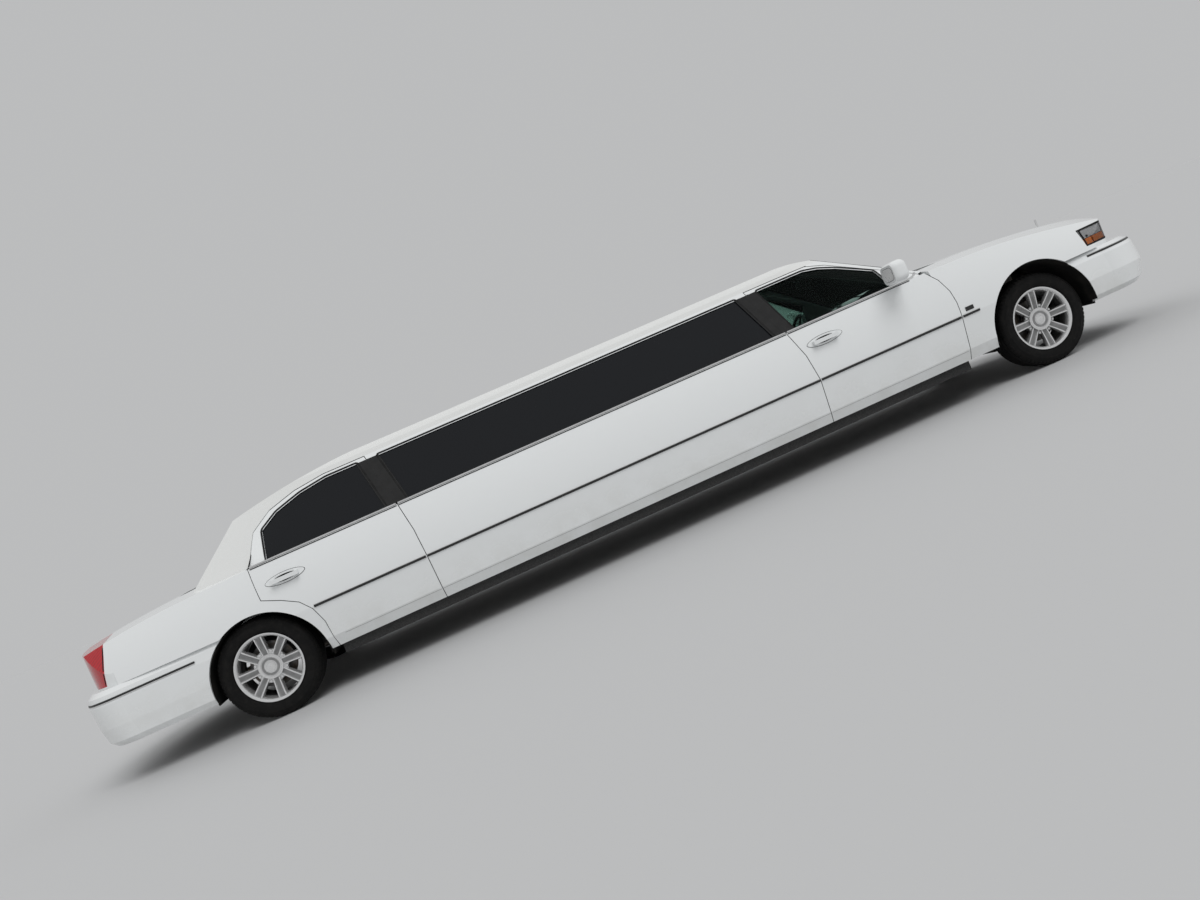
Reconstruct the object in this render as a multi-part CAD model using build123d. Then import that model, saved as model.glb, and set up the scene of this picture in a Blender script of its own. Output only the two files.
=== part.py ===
from build123d import *
from collections import namedtuple
from math import cos, pi, radians, sin
import os

os.makedirs("parts", exist_ok=True)

# Stretch limousine at full size. X points forward, Y left, Z up.
# The origin is on the ground, midway along the length.

# Main lengths and heights
sedan_wheelbase = 2990
stretch = 3048
wheelbase = sedan_wheelbase + stretch
front_overhang = 1090
rear_overhang = 1391
overall = wheelbase + front_overhang + rear_overhang
rear_x = rear_overhang - overall / 2
front_x = rear_x + wheelbase
front_track = 1603
rear_track = 1664
sill_z = 285
crease_z = 362
rub_z = 600
belt_z = 1000
cantrail_z = 1400
roof_z = 1497

# Wall thicknesses and gaps
skin_wall = 30
door_wall = 70
frame_wall = 42
glass_inset = 9
glass_thickness = 5
shut_gap = 5
seat_gap = 0.3

# Wheels
tyre_radius = 343
axle_z = tyre_radius
tyre_width = 228
rim_flange_radius = 233
rim_width = 200
spoke_count = 8
front_arch_radius = 425
front_arch_z = 345
rear_arch_radius = 408
rear_arch_z = 305
rear_arch_shift = 20
steer_limit = 32
kingpin_offset = 75

far = 3000
Row = namedtuple("Row", "x sill crease rub belt top z_belt z_top z_crown")

# Lower body sections: place along the car, half widths at the sill, crease, rub strip,
# shoulder and top edge, then the heights of the shoulder, top edge and crown.
middle_row = Row(0, 938, 968, 992, 932, 740, belt_z, 1036, 1056)
# Places ahead of the front axle
front_rows = [
    Row(-600, 938, 968, 992, 932, 740, belt_z, 1036, 1056),
    Row(-350, 938, 968, 992, 926, 725, 992, 1034, 1056),
    Row(0, 936, 966, 990, 914, 700, 966, 1014, 1040),
    Row(400, 918, 945, 965, 888, 660, 910, 972, 1004),
    Row(700, 868, 892, 908, 836, 610, 862, 925, 958),
    Row(960, 775, 797, 811, 741, 545, 800, 850, 880),
]
# Places ahead of the rear axle
rear_rows = [
    Row(-1300, 800, 825, 840, 750, 560, 872, 915, 940),
    Row(-1050, 868, 892, 912, 822, 620, 914, 958, 984),
    Row(-750, 905, 935, 955, 868, 660, 955, 994, 1014),
    Row(-350, 930, 960, 984, 905, 700, 985, 1022, 1040),
    Row(120, 938, 968, 992, 932, 740, belt_z, 1036, 1056),
]


# Small helpers for wires, prisms and mirrored pairs
def line(a, b):
    return Edge.make_line(a, b)


def arc(a, b, c):
    return Edge.make_three_point_arc(a, b, c)


def box(x0, x1, y0, y1, z0, z1):
    solid = Box(x1 - x0, y1 - y0, z1 - z0)
    return Pos((x0 + x1) / 2, (y0 + y1) / 2, (z0 + z1) / 2) * solid


def side_prism(outline, y0, y1):
    """Side view outline of (x, z) points, from y0 to y1."""
    wire = Wire.make_polygon([(x, y0, z) for x, z in outline], close=True)
    return extrude(Face(wire), y1 - y0, dir=(0, 1, 0))


def front_prism(outline, x0, x1):
    """Front view outline of (y, z) points, from x0 to x1."""
    wire = Wire.make_polygon([(x0, y, z) for y, z in outline], close=True)
    return extrude(Face(wire), x1 - x0, dir=(1, 0, 0))


def plan_prism(outline, z0, z1):
    """Plan outline of (x, y) points, from z0 to z1."""
    wire = Wire.make_polygon([(x, y, z0) for x, y in outline], close=True)
    return extrude(Face(wire), z1 - z0, dir=(0, 0, 1))


def cylinder_y(x, z, radius, y0, y1):
    return Pos(x, (y0 + y1) / 2, z) * Rot(90, 0, 0) * Cylinder(radius, y1 - y0)


def cylinder_z(x, y, radius, z0, z1):
    return Pos(x, y, (z0 + z1) / 2) * Cylinder(radius, z1 - z0)


def cylinder_x(y, z, radius, x0, x1):
    return Pos((x0 + x1) / 2, y, z) * Rot(0, 90, 0) * Cylinder(radius, x1 - x0)


def mirrored(shape):
    return mirror(shape, Plane.XZ)


def both(shape):
    return Compound([*shape.solids(), *mirrored(shape).solids()])


def fused(first, *others):
    shape = first
    for other in others:
        shape = shape + other
    return shape


def save(name, shape):
    solids = shape.solids()
    export_step(Compound(solids) if len(solids) > 1 else solids[0], f"parts/{name}.step")


# Outer body surfaces
def section_wire(row, base_x, inset, open_top):
    """One cross-section, drawn in by the inset; an open top runs up past the shoulder."""
    x = base_x + row.x
    low = sill_z if inset == 0 else sill_z - 200
    lift = 200 if open_top else -inset
    sill = (row.sill - inset, low)
    crease = (row.crease - inset, crease_z)
    rub = (row.rub - inset, rub_z)
    mid_z = (rub_z + row.z_belt) / 2
    mid = ((row.rub + row.belt) / 2 + 14 - inset, mid_z)
    if open_top:
        belt = (row.belt - inset, row.z_belt)
        top = (row.belt - inset - 1, row.z_belt + lift)
        crown = row.z_belt + lift + 20
    else:
        belt = (row.belt - inset, row.z_belt - inset)
        top = (row.top, row.z_top - inset)
        crown = row.z_crown - inset

    def left(p):
        return (x, p[0], p[1])

    def right(p):
        return (x, -p[0], p[1])

    return Wire([
        line(right(sill), left(sill)),
        line(left(sill), left(crease)),
        line(left(crease), left(rub)),
        arc(left(rub), left(mid), left(belt)),
        line(left(belt), left(top)),
        arc(left(top), (x, 0, crown), right(top)),
        line(right(top), right(belt)),
        arc(right(belt), right(mid), right(rub)),
        line(right(rub), right(crease)),
        line(right(crease), right(sill)),
    ])


def lower_body(inset, open_top=False):
    """Nose, constant middle and tail of the body below the windows, as three solids."""
    nose = Solid.make_loft(
        [section_wire(row, front_x, inset, open_top) for row in front_rows], False)
    tail = Solid.make_loft(
        [section_wire(row, rear_x, inset, open_top) for row in rear_rows], False)
    start = rear_x + rear_rows[-1].x
    end = front_x + front_rows[0].x
    middle = extrude(
        Face(section_wire(middle_row, start, inset, open_top)), end - start, dir=(1, 0, 0))
    return nose, middle, tail


# Plan outlines of the cabin at the belt and at the top of the side windows:
# height, then x of the front bow, its corner, the front end of the side,
# the rear end of the side, the rear corner and the rear bow, then half widths
# at the front corner, the side and the rear corner.
Plan = namedtuple("Plan", "z bow_front corner_front side_front side_rear corner_rear "
                          "bow_rear y_front y_side y_rear")
cabin_belt = Plan(960, -420, -590, -860, 260, -330, -440, 850, 938, 850)
cabin_rail = Plan(1385, -1110, -1265, -1560, 560, 120, 30, 612, 692, 612)


def plan_row(z):
    """Cabin outline at any height on the straight lines through the two given ones."""
    t = (z - cabin_belt.z) / (cabin_rail.z - cabin_belt.z)
    return Plan(*[a + (b - a) * t for a, b in zip(cabin_belt, cabin_rail)])


def plan_wire(z, inset):
    row = plan_row(z)
    fc = (front_x + row.corner_front - inset, row.y_front - inset * 0.6)
    fs = (front_x + row.side_front - inset, row.y_side - inset)
    rs = (rear_x + row.side_rear + inset, row.y_side - inset)
    rc = (rear_x + row.corner_rear + inset, row.y_rear - inset * 0.6)
    bulge = 0.07
    fm = ((fc[0] + fs[0]) / 2 + (fs[1] - fc[1]) * bulge * 4, (fc[1] + fs[1]) / 2 + 14)
    rm = ((rc[0] + rs[0]) / 2 - (rs[1] - rc[1]) * bulge * 4, (rc[1] + rs[1]) / 2 + 14)

    def left(p):
        return (p[0], p[1], z)

    def right(p):
        return (p[0], -p[1], z)

    return Wire([
        arc(right(fc), (front_x + row.bow_front - inset, 0, z), left(fc)),
        arc(left(fc), left(fm), left(fs)),
        line(left(fs), left(rs)),
        arc(left(rs), left(rm), left(rc)),
        arc(left(rc), (rear_x + row.bow_rear + inset, 0, z), right(rc)),
        arc(right(rc), right(rm), right(rs)),
        line(right(rs), right(fs)),
        arc(right(fs), right(fm), right(fc)),
    ])


def cabin(inset):
    """Cabin above the belt: sloped glass planes under a crowned roof."""
    low = cabin_belt.z - (0 if inset == 0 else 100)
    glass_body = Solid.make_loft([plan_wire(low, inset), plan_wire(roof_z + 60, inset)], True)
    top = roof_z - inset
    flat_front = front_x - 1950
    flat_rear = rear_x + 1300
    side_view = Wire([
        line((flat_rear, -far, top), (flat_front, -far, top)),
        arc((flat_front, -far, top), (front_x - 1500, -far, top - 34), (front_x - 1080, -far, top - 132)),
        line((front_x - 1080, -far, top - 132), (front_x, -far, top - 520)),
        line((front_x, -far, top - 520), (front_x, -far, 700)),
        line((front_x, -far, 700), (rear_x - 900, -far, 700)),
        line((rear_x - 900, -far, 700), (rear_x - 900, -far, top - 620)),
        line((rear_x - 900, -far, top - 620), (rear_x + 20, -far, top - 158)),
        arc((rear_x + 20, -far, top - 158), (rear_x + 620, -far, top - 55), (flat_rear, -far, top)),
    ])
    crown_edge = (540, top - 16)
    rail = (700 - inset * 0.4, cantrail_z - 16 - inset * 0.3)
    shoulder = (652 - inset * 0.5, top - 52)
    start = rear_x - 1000
    end_view = Wire([
        arc((start, -crown_edge[0], crown_edge[1]), (start, 0, top), (start, *crown_edge)),
        arc((start, *crown_edge), (start, *shoulder), (start, *rail)),
        line((start, *rail), (start, 1100, 900)),
        line((start, 1100, 900), (start, 1100, 600)),
        line((start, 1100, 600), (start, -1100, 600)),
        line((start, -1100, 600), (start, -1100, 900)),
        line((start, -1100, 900), (start, -rail[0], rail[1])),
        arc((start, -rail[0], rail[1]), (start, -shoulder[0], shoulder[1]),
            (start, -crown_edge[0], crown_edge[1])),
    ])
    side = extrude(Face(side_view), 2 * far, dir=(0, 1, 0))
    end = extrude(Face(end_view), wheelbase + 2000, dir=(1, 0, 0))
    return glass_body & side & end


# Nose and tail outlines that trim the body in plan and in side view
def nose_trim(back):
    """Plan outline of the nose, moved back by the given amount."""
    x = front_x - back
    side = 900
    wire = Wire([
        line((x + 560, side - back + 200, 0), (x + 560, -side + back - 200, 0)),
        line((x + 560, -side + back - 200, 0), (x + 600, -side + back, 0)),
        arc((x + 600, -side + back, 0), (x + 775, -805 + back, 0), (x + 842, -690 + back, 0)),
        arc((x + 842, -690 + back, 0), (x + 930, 0, 0), (x + 842, 690 - back, 0)),
        arc((x + 842, 690 - back, 0), (x + 775, 805 - back, 0), (x + 600, side - back, 0)),
        line((x + 600, side - back, 0), (x + 560, side - back + 200, 0)),
    ])
    solid = extrude(Face(wire), 1500, dir=(0, 0, 1))
    return solid + box(rear_x - 2000, x + 561, -1200, 1200, 0, 1500)


def tail_trim(back):
    x = rear_x + back
    side = 912
    wire = Wire([
        line((x - 880, -side + back - 200, 0), (x - 880, side - back + 200, 0)),
        line((x - 880, side - back + 200, 0), (x - 920, side - back, 0)),
        arc((x - 920, side - back, 0), (x - 1080, 832 - back, 0), (x - 1150, 700 - back, 0)),
        arc((x - 1150, 700 - back, 0), (x - 1235, 0, 0), (x - 1150, -700 + back, 0)),
        arc((x - 1150, -700 + back, 0), (x - 1080, -832 + back, 0), (x - 920, -side + back, 0)),
        line((x - 920, -side + back, 0), (x - 880, -side + back - 200, 0)),
    ])
    solid = extrude(Face(wire), 1500, dir=(0, 0, 1))
    return solid + box(x - 881, front_x + 2000, -1200, 1200, 0, 1500)


def end_profile(back):
    """Side view of nose and tail: the ends lean in towards their tops."""
    f = front_x - back
    r = rear_x + back
    outline = [(r - 1236, 200), (r - 1236, 640), (r - 1215, 830), (r - 1190, 900),
               (r - 1130, 950), (r - 1000, 1300), (f + 700, 1300), (f + 850, 930),
               (f + 905, 860), (f + 930, 760), (f + 935, 200)]
    return side_prism(outline, -far / 2, far / 2)


outer = [(part & nose_trim(0) & tail_trim(0) & end_profile(0)) for part in lower_body(0)]
outer_nose, outer_middle, outer_tail = outer
inner_nose, inner_middle, inner_tail = lower_body(skin_wall)
inner_nose = inner_nose & nose_trim(skin_wall) & end_profile(skin_wall)
inner_tail = inner_tail & tail_trim(skin_wall) & end_profile(skin_wall)
door_inner_nose, door_inner_middle, door_inner_tail = lower_body(door_wall, True)

nose_shell = outer_nose - inner_nose
tail_shell = outer_tail - inner_tail
belt_cut = box(-far * 2, far * 2, -1200, 1200, belt_z, 1300)
side_wall = (outer_middle - door_inner_middle) - belt_cut
nose_wall = (outer_nose - door_inner_nose) - belt_cut

cabin_outer = cabin(0)
cabin_inner = cabin(frame_wall)
cabin_shell = cabin_outer - cabin_inner
cabin_shell = cabin_shell - box(-far * 2, far * 2, -1200, 1200, 500, belt_z - 10)
glass_shell = cabin(glass_inset) - cabin(glass_inset + glass_thickness)

# Wheel arches
front_arch = cylinder_y(front_x, front_arch_z, front_arch_radius, -1100, 1100)
rear_arch = cylinder_y(rear_x + rear_arch_shift, rear_arch_z, rear_arch_radius, -1100, 1100)

# Door outlines in side view: x, height, half width of the skin there, and how far the
# shut face leans per millimetre of depth, so that the door clears its frame as it swings.
Point = namedtuple("Point", "x z y lean")
front_door_points = [
    Point(front_x - 1790, sill_z, 938, 0.22),
    Point(front_x - 1778, 600, 992, 0.22),
    Point(front_x - 1800, 800, 975, 0.22),
    Point(front_x - 1856, belt_z, 932, 0.22),
    Point(front_x - 1952, cantrail_z, 700, 0.3),
    Point(front_x - 1440, cantrail_z, 700, 0),
    Point(front_x - 1290, 1352, 715, 0),
    Point(front_x - 830, 1072, 880, 0),
    Point(front_x - 742, 1009, 925, 0),
    Point(front_x - 668, 909, 950, 0),
    Point(front_x - 630, 805, 975, 0),
    Point(front_x - 621, 714, 985, 0),
    Point(front_x - 628, 600, 992, 0),
    Point(front_x - 658, sill_z, 938, 0),
]
rear_door_points = [
    Point(rear_x + 484, sill_z, 938, 0.25),
    Point(rear_x + 470, 480, 975, 0.25),
    Point(rear_x + 431, 592, 992, 0.25),
    Point(rear_x + 369, 668, 988, 0.25),
    Point(rear_x + 269, 725, 983, 0.25),
    Point(rear_x + 145, 778, 978, 0.25),
    Point(rear_x + 136, belt_z, 932, 0.3),
    Point(rear_x + 205, 1215, 812, 0.4),
    Point(rear_x + 350, 1312, 752, 0.5),
    Point(rear_x + 560, 1372, 718, 0.5),
    Point(rear_x + 780, cantrail_z, 700, 0.6),
    Point(rear_x + 1096, cantrail_z, 700, 0),
    Point(rear_x + 1204, belt_z, 932, 0),
    Point(rear_x + 1240, 800, 975, 0),
    Point(rear_x + 1252, 600, 992, 0),
    Point(rear_x + 1257, sill_z, 938, 0),
]
front_window = [(front_x - 1775, 1010), (front_x - 1860, 1370), (front_x - 1480, 1370),
                (front_x - 1366, 1345), (front_x - 1242, 1295), (front_x - 1012, 1164),
                (front_x - 997, 1010)]
rear_door_window = [(rear_x + 266, 1010), (rear_x + 284, 1203), (rear_x + 410, 1282),
                    (rear_x + 600, 1340), (rear_x + 800, 1370), (rear_x + 1035, 1370),
                    (rear_x + 1128, 1010)]
long_window = [(rear_x + 1285, 1010), (rear_x + 1190, 1370), (front_x - 2035, 1370),
               (front_x - 1938, 1010)]
wall_outer_y = 1060
wall_inner_y = 560


def grown(points, gap):
    """Outline moved outward by the gap, each point along the bisector of its corner."""
    result = []
    count = len(points)
    for i, p in enumerate(points):
        a, b = points[i - 1], points[(i + 1) % count]
        before = Vector(p.x - a.x, p.z - a.z).normalized()
        after = Vector(b.x - p.x, b.z - p.z).normalized()
        # the outlines run clockwise as seen from the left side, so outward is to the left
        outward = Vector(-before.Y - after.Y, before.X + after.X)
        outward = outward.normalized()
        across = outward.dot(Vector(-before.Y, before.X))
        result.append(Point(p.x + outward.X * gap / across, p.z + outward.Y * gap / across,
                            p.y, p.lean))
    return result


def leaning_prism(points, gap=0):
    """Door opening whose shut faces lean: a ruled solid between two side view outlines."""
    moved = grown(points, gap) if gap else points

    def at(y):
        return Wire.make_polygon([(p.x + p.lean * (p.y - y), y, p.z) for p in moved], close=True)

    return Solid.make_loft([at(wall_inner_y), at(wall_outer_y)], True)


front_door_space = leaning_prism(front_door_points, shut_gap)
rear_door_space = leaning_prism(rear_door_points, shut_gap)


def window_pane(outline):
    """Side glass: the glass shell inside the window outline."""
    return glass_shell & side_prism(outline, 500, 1100)


# Door hinges: a strap from the post to a pin at the axis, in a slot in the door's front edge
hinge_z = 600
hinge_half = 17
hinge_axis_y = 980
hinge_back = 70
pin_radius = 5
strap_angle = 70
front_hinge_x = front_x - 621 - hinge_back
rear_hinge_x = rear_x + 1257 - hinge_back


def hinge_strap(x, end_points):
    """Strap with a pin of its own height, seen in plan, on the left side."""
    dx, dy = cos(radians(strap_angle)), -sin(radians(strap_angle))
    side = (-dy * pin_radius, dx * pin_radius)
    reach = 78
    outline = [(x - side[0], hinge_axis_y - side[1]), *end_points,
               (x + side[0] + dx * reach, hinge_axis_y + side[1] + dy * reach),
               (x + side[0], hinge_axis_y + side[1])]
    low, high = hinge_z - hinge_half, hinge_z + hinge_half
    return plan_prism(outline, low, high) + cylinder_z(x, hinge_axis_y, pin_radius, low, high)


def hinge_slot(x):
    edge = pin_radius + seat_gap
    return box(x - edge, x + hinge_back + 20, 860, hinge_axis_y + edge,
               hinge_z - hinge_half - 3, hinge_z + hinge_half + 3)


# Doors
def front_door():
    space = leaning_prism(front_door_points)
    window = side_prism(front_window, 500, 1100)
    lower = (side_wall & space) + (nose_wall & space)
    upper = (cabin_shell & space) - window
    return lower + upper - hinge_slot(front_hinge_x)


def rear_door():
    space = leaning_prism(rear_door_points)
    window = side_prism(rear_door_window, 500, 1100)
    lower = side_wall & space
    upper = (cabin_shell & space) - window
    return lower + upper - hinge_slot(rear_hinge_x)


def mirror_housing():
    """Door mirror: an arm from the sail and a rounded shell."""
    x = front_x - 1005
    shell = Pos(x, 1062, 1088) * Box(88, 190, 128)
    shell = fillet(shell.edges().filter_by(Axis.Y), 34)
    arm = box(x + 20, x + 80, 862, 985, 1030, 1066)
    arm = arm + box(x - 30, x + 80, 972, 1000, 1030, 1066)
    return shell + arm


def handle(x, z):
    """Loop handle: a bar on two feet, standing off the skin."""
    y = 975
    bar = box(x, x + 190, y + 18, y + 32, z - 14, z + 14)
    foot_a = box(x, x + 26, y - 30, y + 19, z - 12, z + 12)
    foot_b = box(x + 164, x + 190, y - 30, y + 19, z - 12, z + 12)
    return fused(bar, foot_a, foot_b)


door_front = fused(front_door(), mirror_housing(), handle(front_x - 1722, 858))
door_rear = fused(rear_door(), handle(rear_x + 250, 858))
glass_front = window_pane(front_window)
glass_rear = window_pane(rear_door_window)

# Fixed sides of the stretch, standing on the sills, up to the roof edge
stretch_outline = [(rear_x + 600, sill_z - shut_gap), (rear_x + 600, cantrail_z + shut_gap),
                   (front_x - 1300, cantrail_z + shut_gap), (front_x - 1300, sill_z - shut_gap)]
stretch_space = side_prism(stretch_outline, 500, 1100) - front_door_space - rear_door_space
stretch_parts = (side_wall & stretch_space) + (cabin_shell & stretch_space)
stretch_parts = stretch_parts - side_prism(long_window, 500, 1100)
middle_x = (rear_x + 1257 + front_x - 1790) / 2
side_panel = [s for s in stretch_parts.solids() if abs(s.center().X - middle_x) < 600][0]
rear_strap = hinge_strap(rear_hinge_x, [(rear_hinge_x + 30, 882), (rear_hinge_x + 123, 882),
                                        (rear_hinge_x + 123, 930), (rear_hinge_x + 90, 930),
                                        (rear_hinge_x + 90, 902), (rear_hinge_x + 40, 902)])
side_panel = side_panel + rear_strap
long_glass = window_pane(long_window)

# Roof
roof = cabin_shell & box(-far * 2, far * 2, -1200, 1200, cantrail_z + shut_gap, 1700)
windshield_view = [(-716, 985), (-716, 1040), (-812, 1040), (-585, 1418), (-560, 1436), (560, 1436),
                   (585, 1418), (812, 1040),
                   (716, 1040), (716, 985)]
windshield_space = front_prism(windshield_view, front_x - 1420, front_x - 300)
rear_window_view = [(-640, 1062), (-540, 1352), (-520, 1364), (520, 1364), (540, 1352),
                    (640, 1062)]
rear_window_space = front_prism(rear_window_view, rear_x - 600, rear_x + 250)
roof = roof - windshield_space

windshield = glass_shell & windshield_space
rear_window = glass_shell & rear_window_space


# Panels of the nose
front_bumper_top = 664
hood_rear = front_x - 505
hood_lip_z = 846
grille_half = 385
grille_low_z = 690
headlamp_inner = 402
headlamp_view = [(front_x + 500, 836), (front_x + 1200, 842), (front_x + 1200, 686),
                 (front_x + 514, 698)]


def hood_prism(gap):
    half = [(hood_rear - gap, 714 + gap), (front_x + 400, 652 + gap),
            (front_x + 720, 596 + gap), (front_x + 1100, 500 + gap)]
    outline = half + [(x, -y) for x, y in reversed(half)]
    return plan_prism(outline, hood_lip_z - gap, 1300)


# Hood hinges: lugs that run back to pins in slots of the cowl
lug_half = 15
lug_slot = 24
lug_radius = 12
lug_pin = 8
lug_back = 60
hood_lug_y = 655
hood_lug_z = 990
hood_axis_x = hood_rear - lug_back
cowl_drop = 35


def lug(axis_x, y, z, root):
    """Hinge lug with its pin hole, its root given by side view points in the panel."""
    eye = cylinder_y(axis_x, z, lug_radius, y - lug_half, y + lug_half)
    outline = [(axis_x, z - lug_radius), *root, (axis_x, z + lug_radius)]
    solid = eye + side_prism(outline, y - lug_half, y + lug_half)
    return solid - cylinder_y(axis_x, z, lug_pin + seat_gap, y - 100, y + 100)


hood_lug = lug(hood_axis_x, hood_lug_y, hood_lug_z,
               [(hood_rear + 60, 994), (hood_rear + 60, 1020), (hood_rear + 1, 1020)])
hood = (nose_shell & hood_prism(0)) + hood_lug + mirrored(hood_lug)
nose_inner_deep = lower_body(95)[0] & nose_trim(95)
headlamp_space = side_prism(headlamp_view, headlamp_inner, 1100)
headlamp = (outer_nose & headlamp_space) - nose_inner_deep
grille_space = box(front_x + 700, front_x + 1200, -grille_half, grille_half, front_bumper_top, 851)
low_front = box(front_x, front_x + 1200, -1100, 1100, 0, front_bumper_top)
left_half = box(-far * 2, far * 2, 300, 1200, 0, 2000)
fender = nose_shell & left_half
fender_foot = box(front_x - 700, front_x - 599, 300, 1100, 0, 1300)
fender = fender + ((outer_middle - inner_middle) & fender_foot)
fender = fender - hood_prism(shut_gap) - front_door_space - front_arch - low_front
fender = fender - headlamp_space - grille_space - box(front_x + 700, front_x + 1200, 300, 565, 800, 860)
fender = fender - box(front_x - 700, hood_rear - shut_gap, -722, 722, 700, 1200)
fender = max(fender.solids(), key=lambda s: s.volume)

# Cowl between the hood and the windshield, with a gutter behind it
cowl_space = box(front_x - 601, hood_rear - shut_gap, -722, 722, 900, 1200)
cowl = Pos(0, 0, -cowl_drop) * (nose_shell & cowl_space)
cowl = cowl + box(front_x - 640, front_x - 590, -716, 716, 975, 1000)
cowl_slot = box(hood_axis_x - 18, hood_rear + 10, hood_lug_y - lug_slot, hood_lug_y + lug_slot,
                900, 1100)
hood_pin = cylinder_y(hood_axis_x, hood_lug_z, lug_pin, hood_lug_y - lug_slot - 1,
                      hood_lug_y + lug_slot + 1)
for slot, pin in ((cowl_slot, hood_pin), (mirrored(cowl_slot), mirrored(hood_pin))):
    cowl = cowl - slot + pin
cowl = max(cowl.solids(), key=lambda s: s.volume)

# Panels of the tail
rear_bumper_top = 650
lid_front = rear_x - 428
lid_low_z = 655
tail_lamp_inner = 592 + shut_gap
tail_lamp_view = [(rear_x - 936, 945), (rear_x - 955, 850), (rear_x - 1004, 664),
                  (rear_x - 1400, 664), (rear_x - 1400, 1100), (rear_x - 960, 1100)]


def lid_prism(gap):
    half = [(lid_front + gap, 628 + gap), (rear_x - 900, 592 + gap),
            (rear_x - 1400, 592 + gap)]
    outline = half + [(x, -y) for x, y in reversed(half)]
    return plan_prism(outline, lid_low_z - gap, 1300)


plate_z = 780
plate_spacing = 178
plate_hole = 3
lid_lug_y = 575
lid_lug_z = 1000
lid_axis_x = lid_front + lug_back
shelf_drop = 10
lid_lug = lug(lid_axis_x, lid_lug_y, lid_lug_z,
              [(lid_front - 40, lid_lug_z - lug_radius), (lid_front - 40, lid_lug_z + 4),
               (lid_front - 1, lid_lug_z + 10)])
lid_edge = side_prism([(lid_front + 1, 900), (lid_front + 1, 1027), (lid_front - 1, 1025),
                       (lid_front - 22, 1004), (lid_front - 22, 900)], -700, 700)
trunk_lid = (tail_shell & lid_prism(0)) - lid_edge + lid_lug + mirrored(lid_lug)
plate_pad = box(rear_x - 1243, rear_x - 1200, -165, 165, plate_z - 85, plate_z + 85)
trunk_lid = trunk_lid + plate_pad
for y in (-plate_spacing / 2, plate_spacing / 2):
    trunk_lid = trunk_lid - cylinder_x(y, plate_z + 60, plate_hole, rear_x - 1300, rear_x - 1100)
tail_inner_deep = lower_body(80)[2] & tail_trim(80)
tail_lamp_space = side_prism(tail_lamp_view, tail_lamp_inner, 1100)
tail_lamp = (outer_tail & tail_lamp_space) - tail_inner_deep - lid_prism(shut_gap)
low_rear = box(rear_x - 1500, rear_x - 100, -1100, 1100, 0, rear_bumper_top)
shelf_space = box(lid_front + shut_gap, rear_x + 130, -700, 700, 900, 1300)
shelf_end = rear_x - 105
quarter = (tail_shell & left_half) + (side_wall & box(rear_x, rear_x + 700, 300, 1100, 0, belt_z))
quarter = quarter - lid_prism(shut_gap) - shelf_space - tail_lamp_space - rear_arch
quarter = quarter - low_rear - rear_door_space
quarter = max(quarter.solids(), key=lambda s: s.volume)
shelf = Pos(0, 0, -shelf_drop) * (tail_shell & shelf_space & box(-far * 2, shelf_end, -699, 699, 900, 1300))
shelf_slot = box(lid_front - 10, lid_axis_x + 20, lid_lug_y - lug_slot, lid_lug_y + lug_slot, 900, 1100)
lid_pin = cylinder_y(lid_axis_x, lid_lug_z, lug_pin, lid_lug_y - lug_slot - 1, lid_lug_y + lug_slot + 1)
for slot, pin in ((shelf_slot, lid_pin), (mirrored(shelf_slot), mirrored(lid_pin))):
    shelf = shelf - slot + pin

# Roof posts: windshield posts in front, the covered quarters around the rear window
post_space = box(front_x - 1420, front_x - 300, 300, 1200, 900, cantrail_z + shut_gap)
post = (cabin_shell & post_space) - windshield_space - front_door_space
post = post - outer_nose - outer_middle - fender
windshield_post = max(post.solids(), key=lambda s: s.volume)
quarter_space = box(rear_x - 700, rear_x + 1096, -1200, 1200, 900, cantrail_z + shut_gap)
rear_posts = (cabin_shell & quarter_space) - rear_window_space
rear_posts = rear_posts - rear_door_space - mirrored(rear_door_space)
rear_posts = rear_posts - outer_tail - outer_middle
rear_posts = max(rear_posts.solids(), key=lambda s: s.volume)
windshield = windshield - Pos(0, 0, -cowl_drop) * outer_nose - outer_middle - cowl
windshield = max(windshield.solids(), key=lambda s: s.volume)
rear_window = max((rear_window - outer_tail).solids(), key=lambda s: s.volume)


# Bumpers: ruled lofts through plan outlines, height and inset from the widest outline
front_bumper_levels = [(300, 70), (335, 30), (455, 0), (600, 14), (640, 40), (front_bumper_top, 75)]
rear_bumper_levels = [(262, 60), (300, 25), (400, 8), (560, 0), (620, 12), (rear_bumper_top, 45)]
bumper_wall = 45
bumper_shelf = 30


def front_bumper_wire(z, inset):
    x = front_x - inset
    side = 968 - inset * 0.5
    corner = 950 - inset * 0.6
    end = 700 - inset * 0.3

    def at(dx, y):
        return (x + dx, y, z)

    return Wire([
        line((front_x + 200, side, z), (front_x + 200, -side, z)),
        line((front_x + 200, -side, z), at(620, -corner)),
        arc(at(620, -corner), at(925, -862 + inset * 0.5), at(1046, -end)),
        arc(at(1046, -end), at(front_overhang, 0), at(1046, end)),
        arc(at(1046, end), at(925, 862 - inset * 0.5), at(620, corner)),
        line(at(620, corner), (front_x + 200, side, z)),
    ])


def rear_bumper_wire(z, inset):
    x = rear_x + inset
    side = 982 - inset * 0.5
    corner = 958 - inset * 0.6
    end = 745 - inset * 0.3

    def at(dx, y):
        return (x - dx, y, z)

    return Wire([
        line((rear_x - 200, -side, z), (rear_x - 200, side, z)),
        line((rear_x - 200, side, z), at(930, corner)),
        arc(at(930, corner), at(1142, 888 - inset * 0.5), at(1232, end)),
        arc(at(1232, end), at(rear_overhang, 0), at(1232, -end)),
        arc(at(1232, -end), at(1142, -888 + inset * 0.5), at(930, -corner)),
        line(at(930, -corner), (rear_x - 200, -side, z)),
    ])


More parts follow.
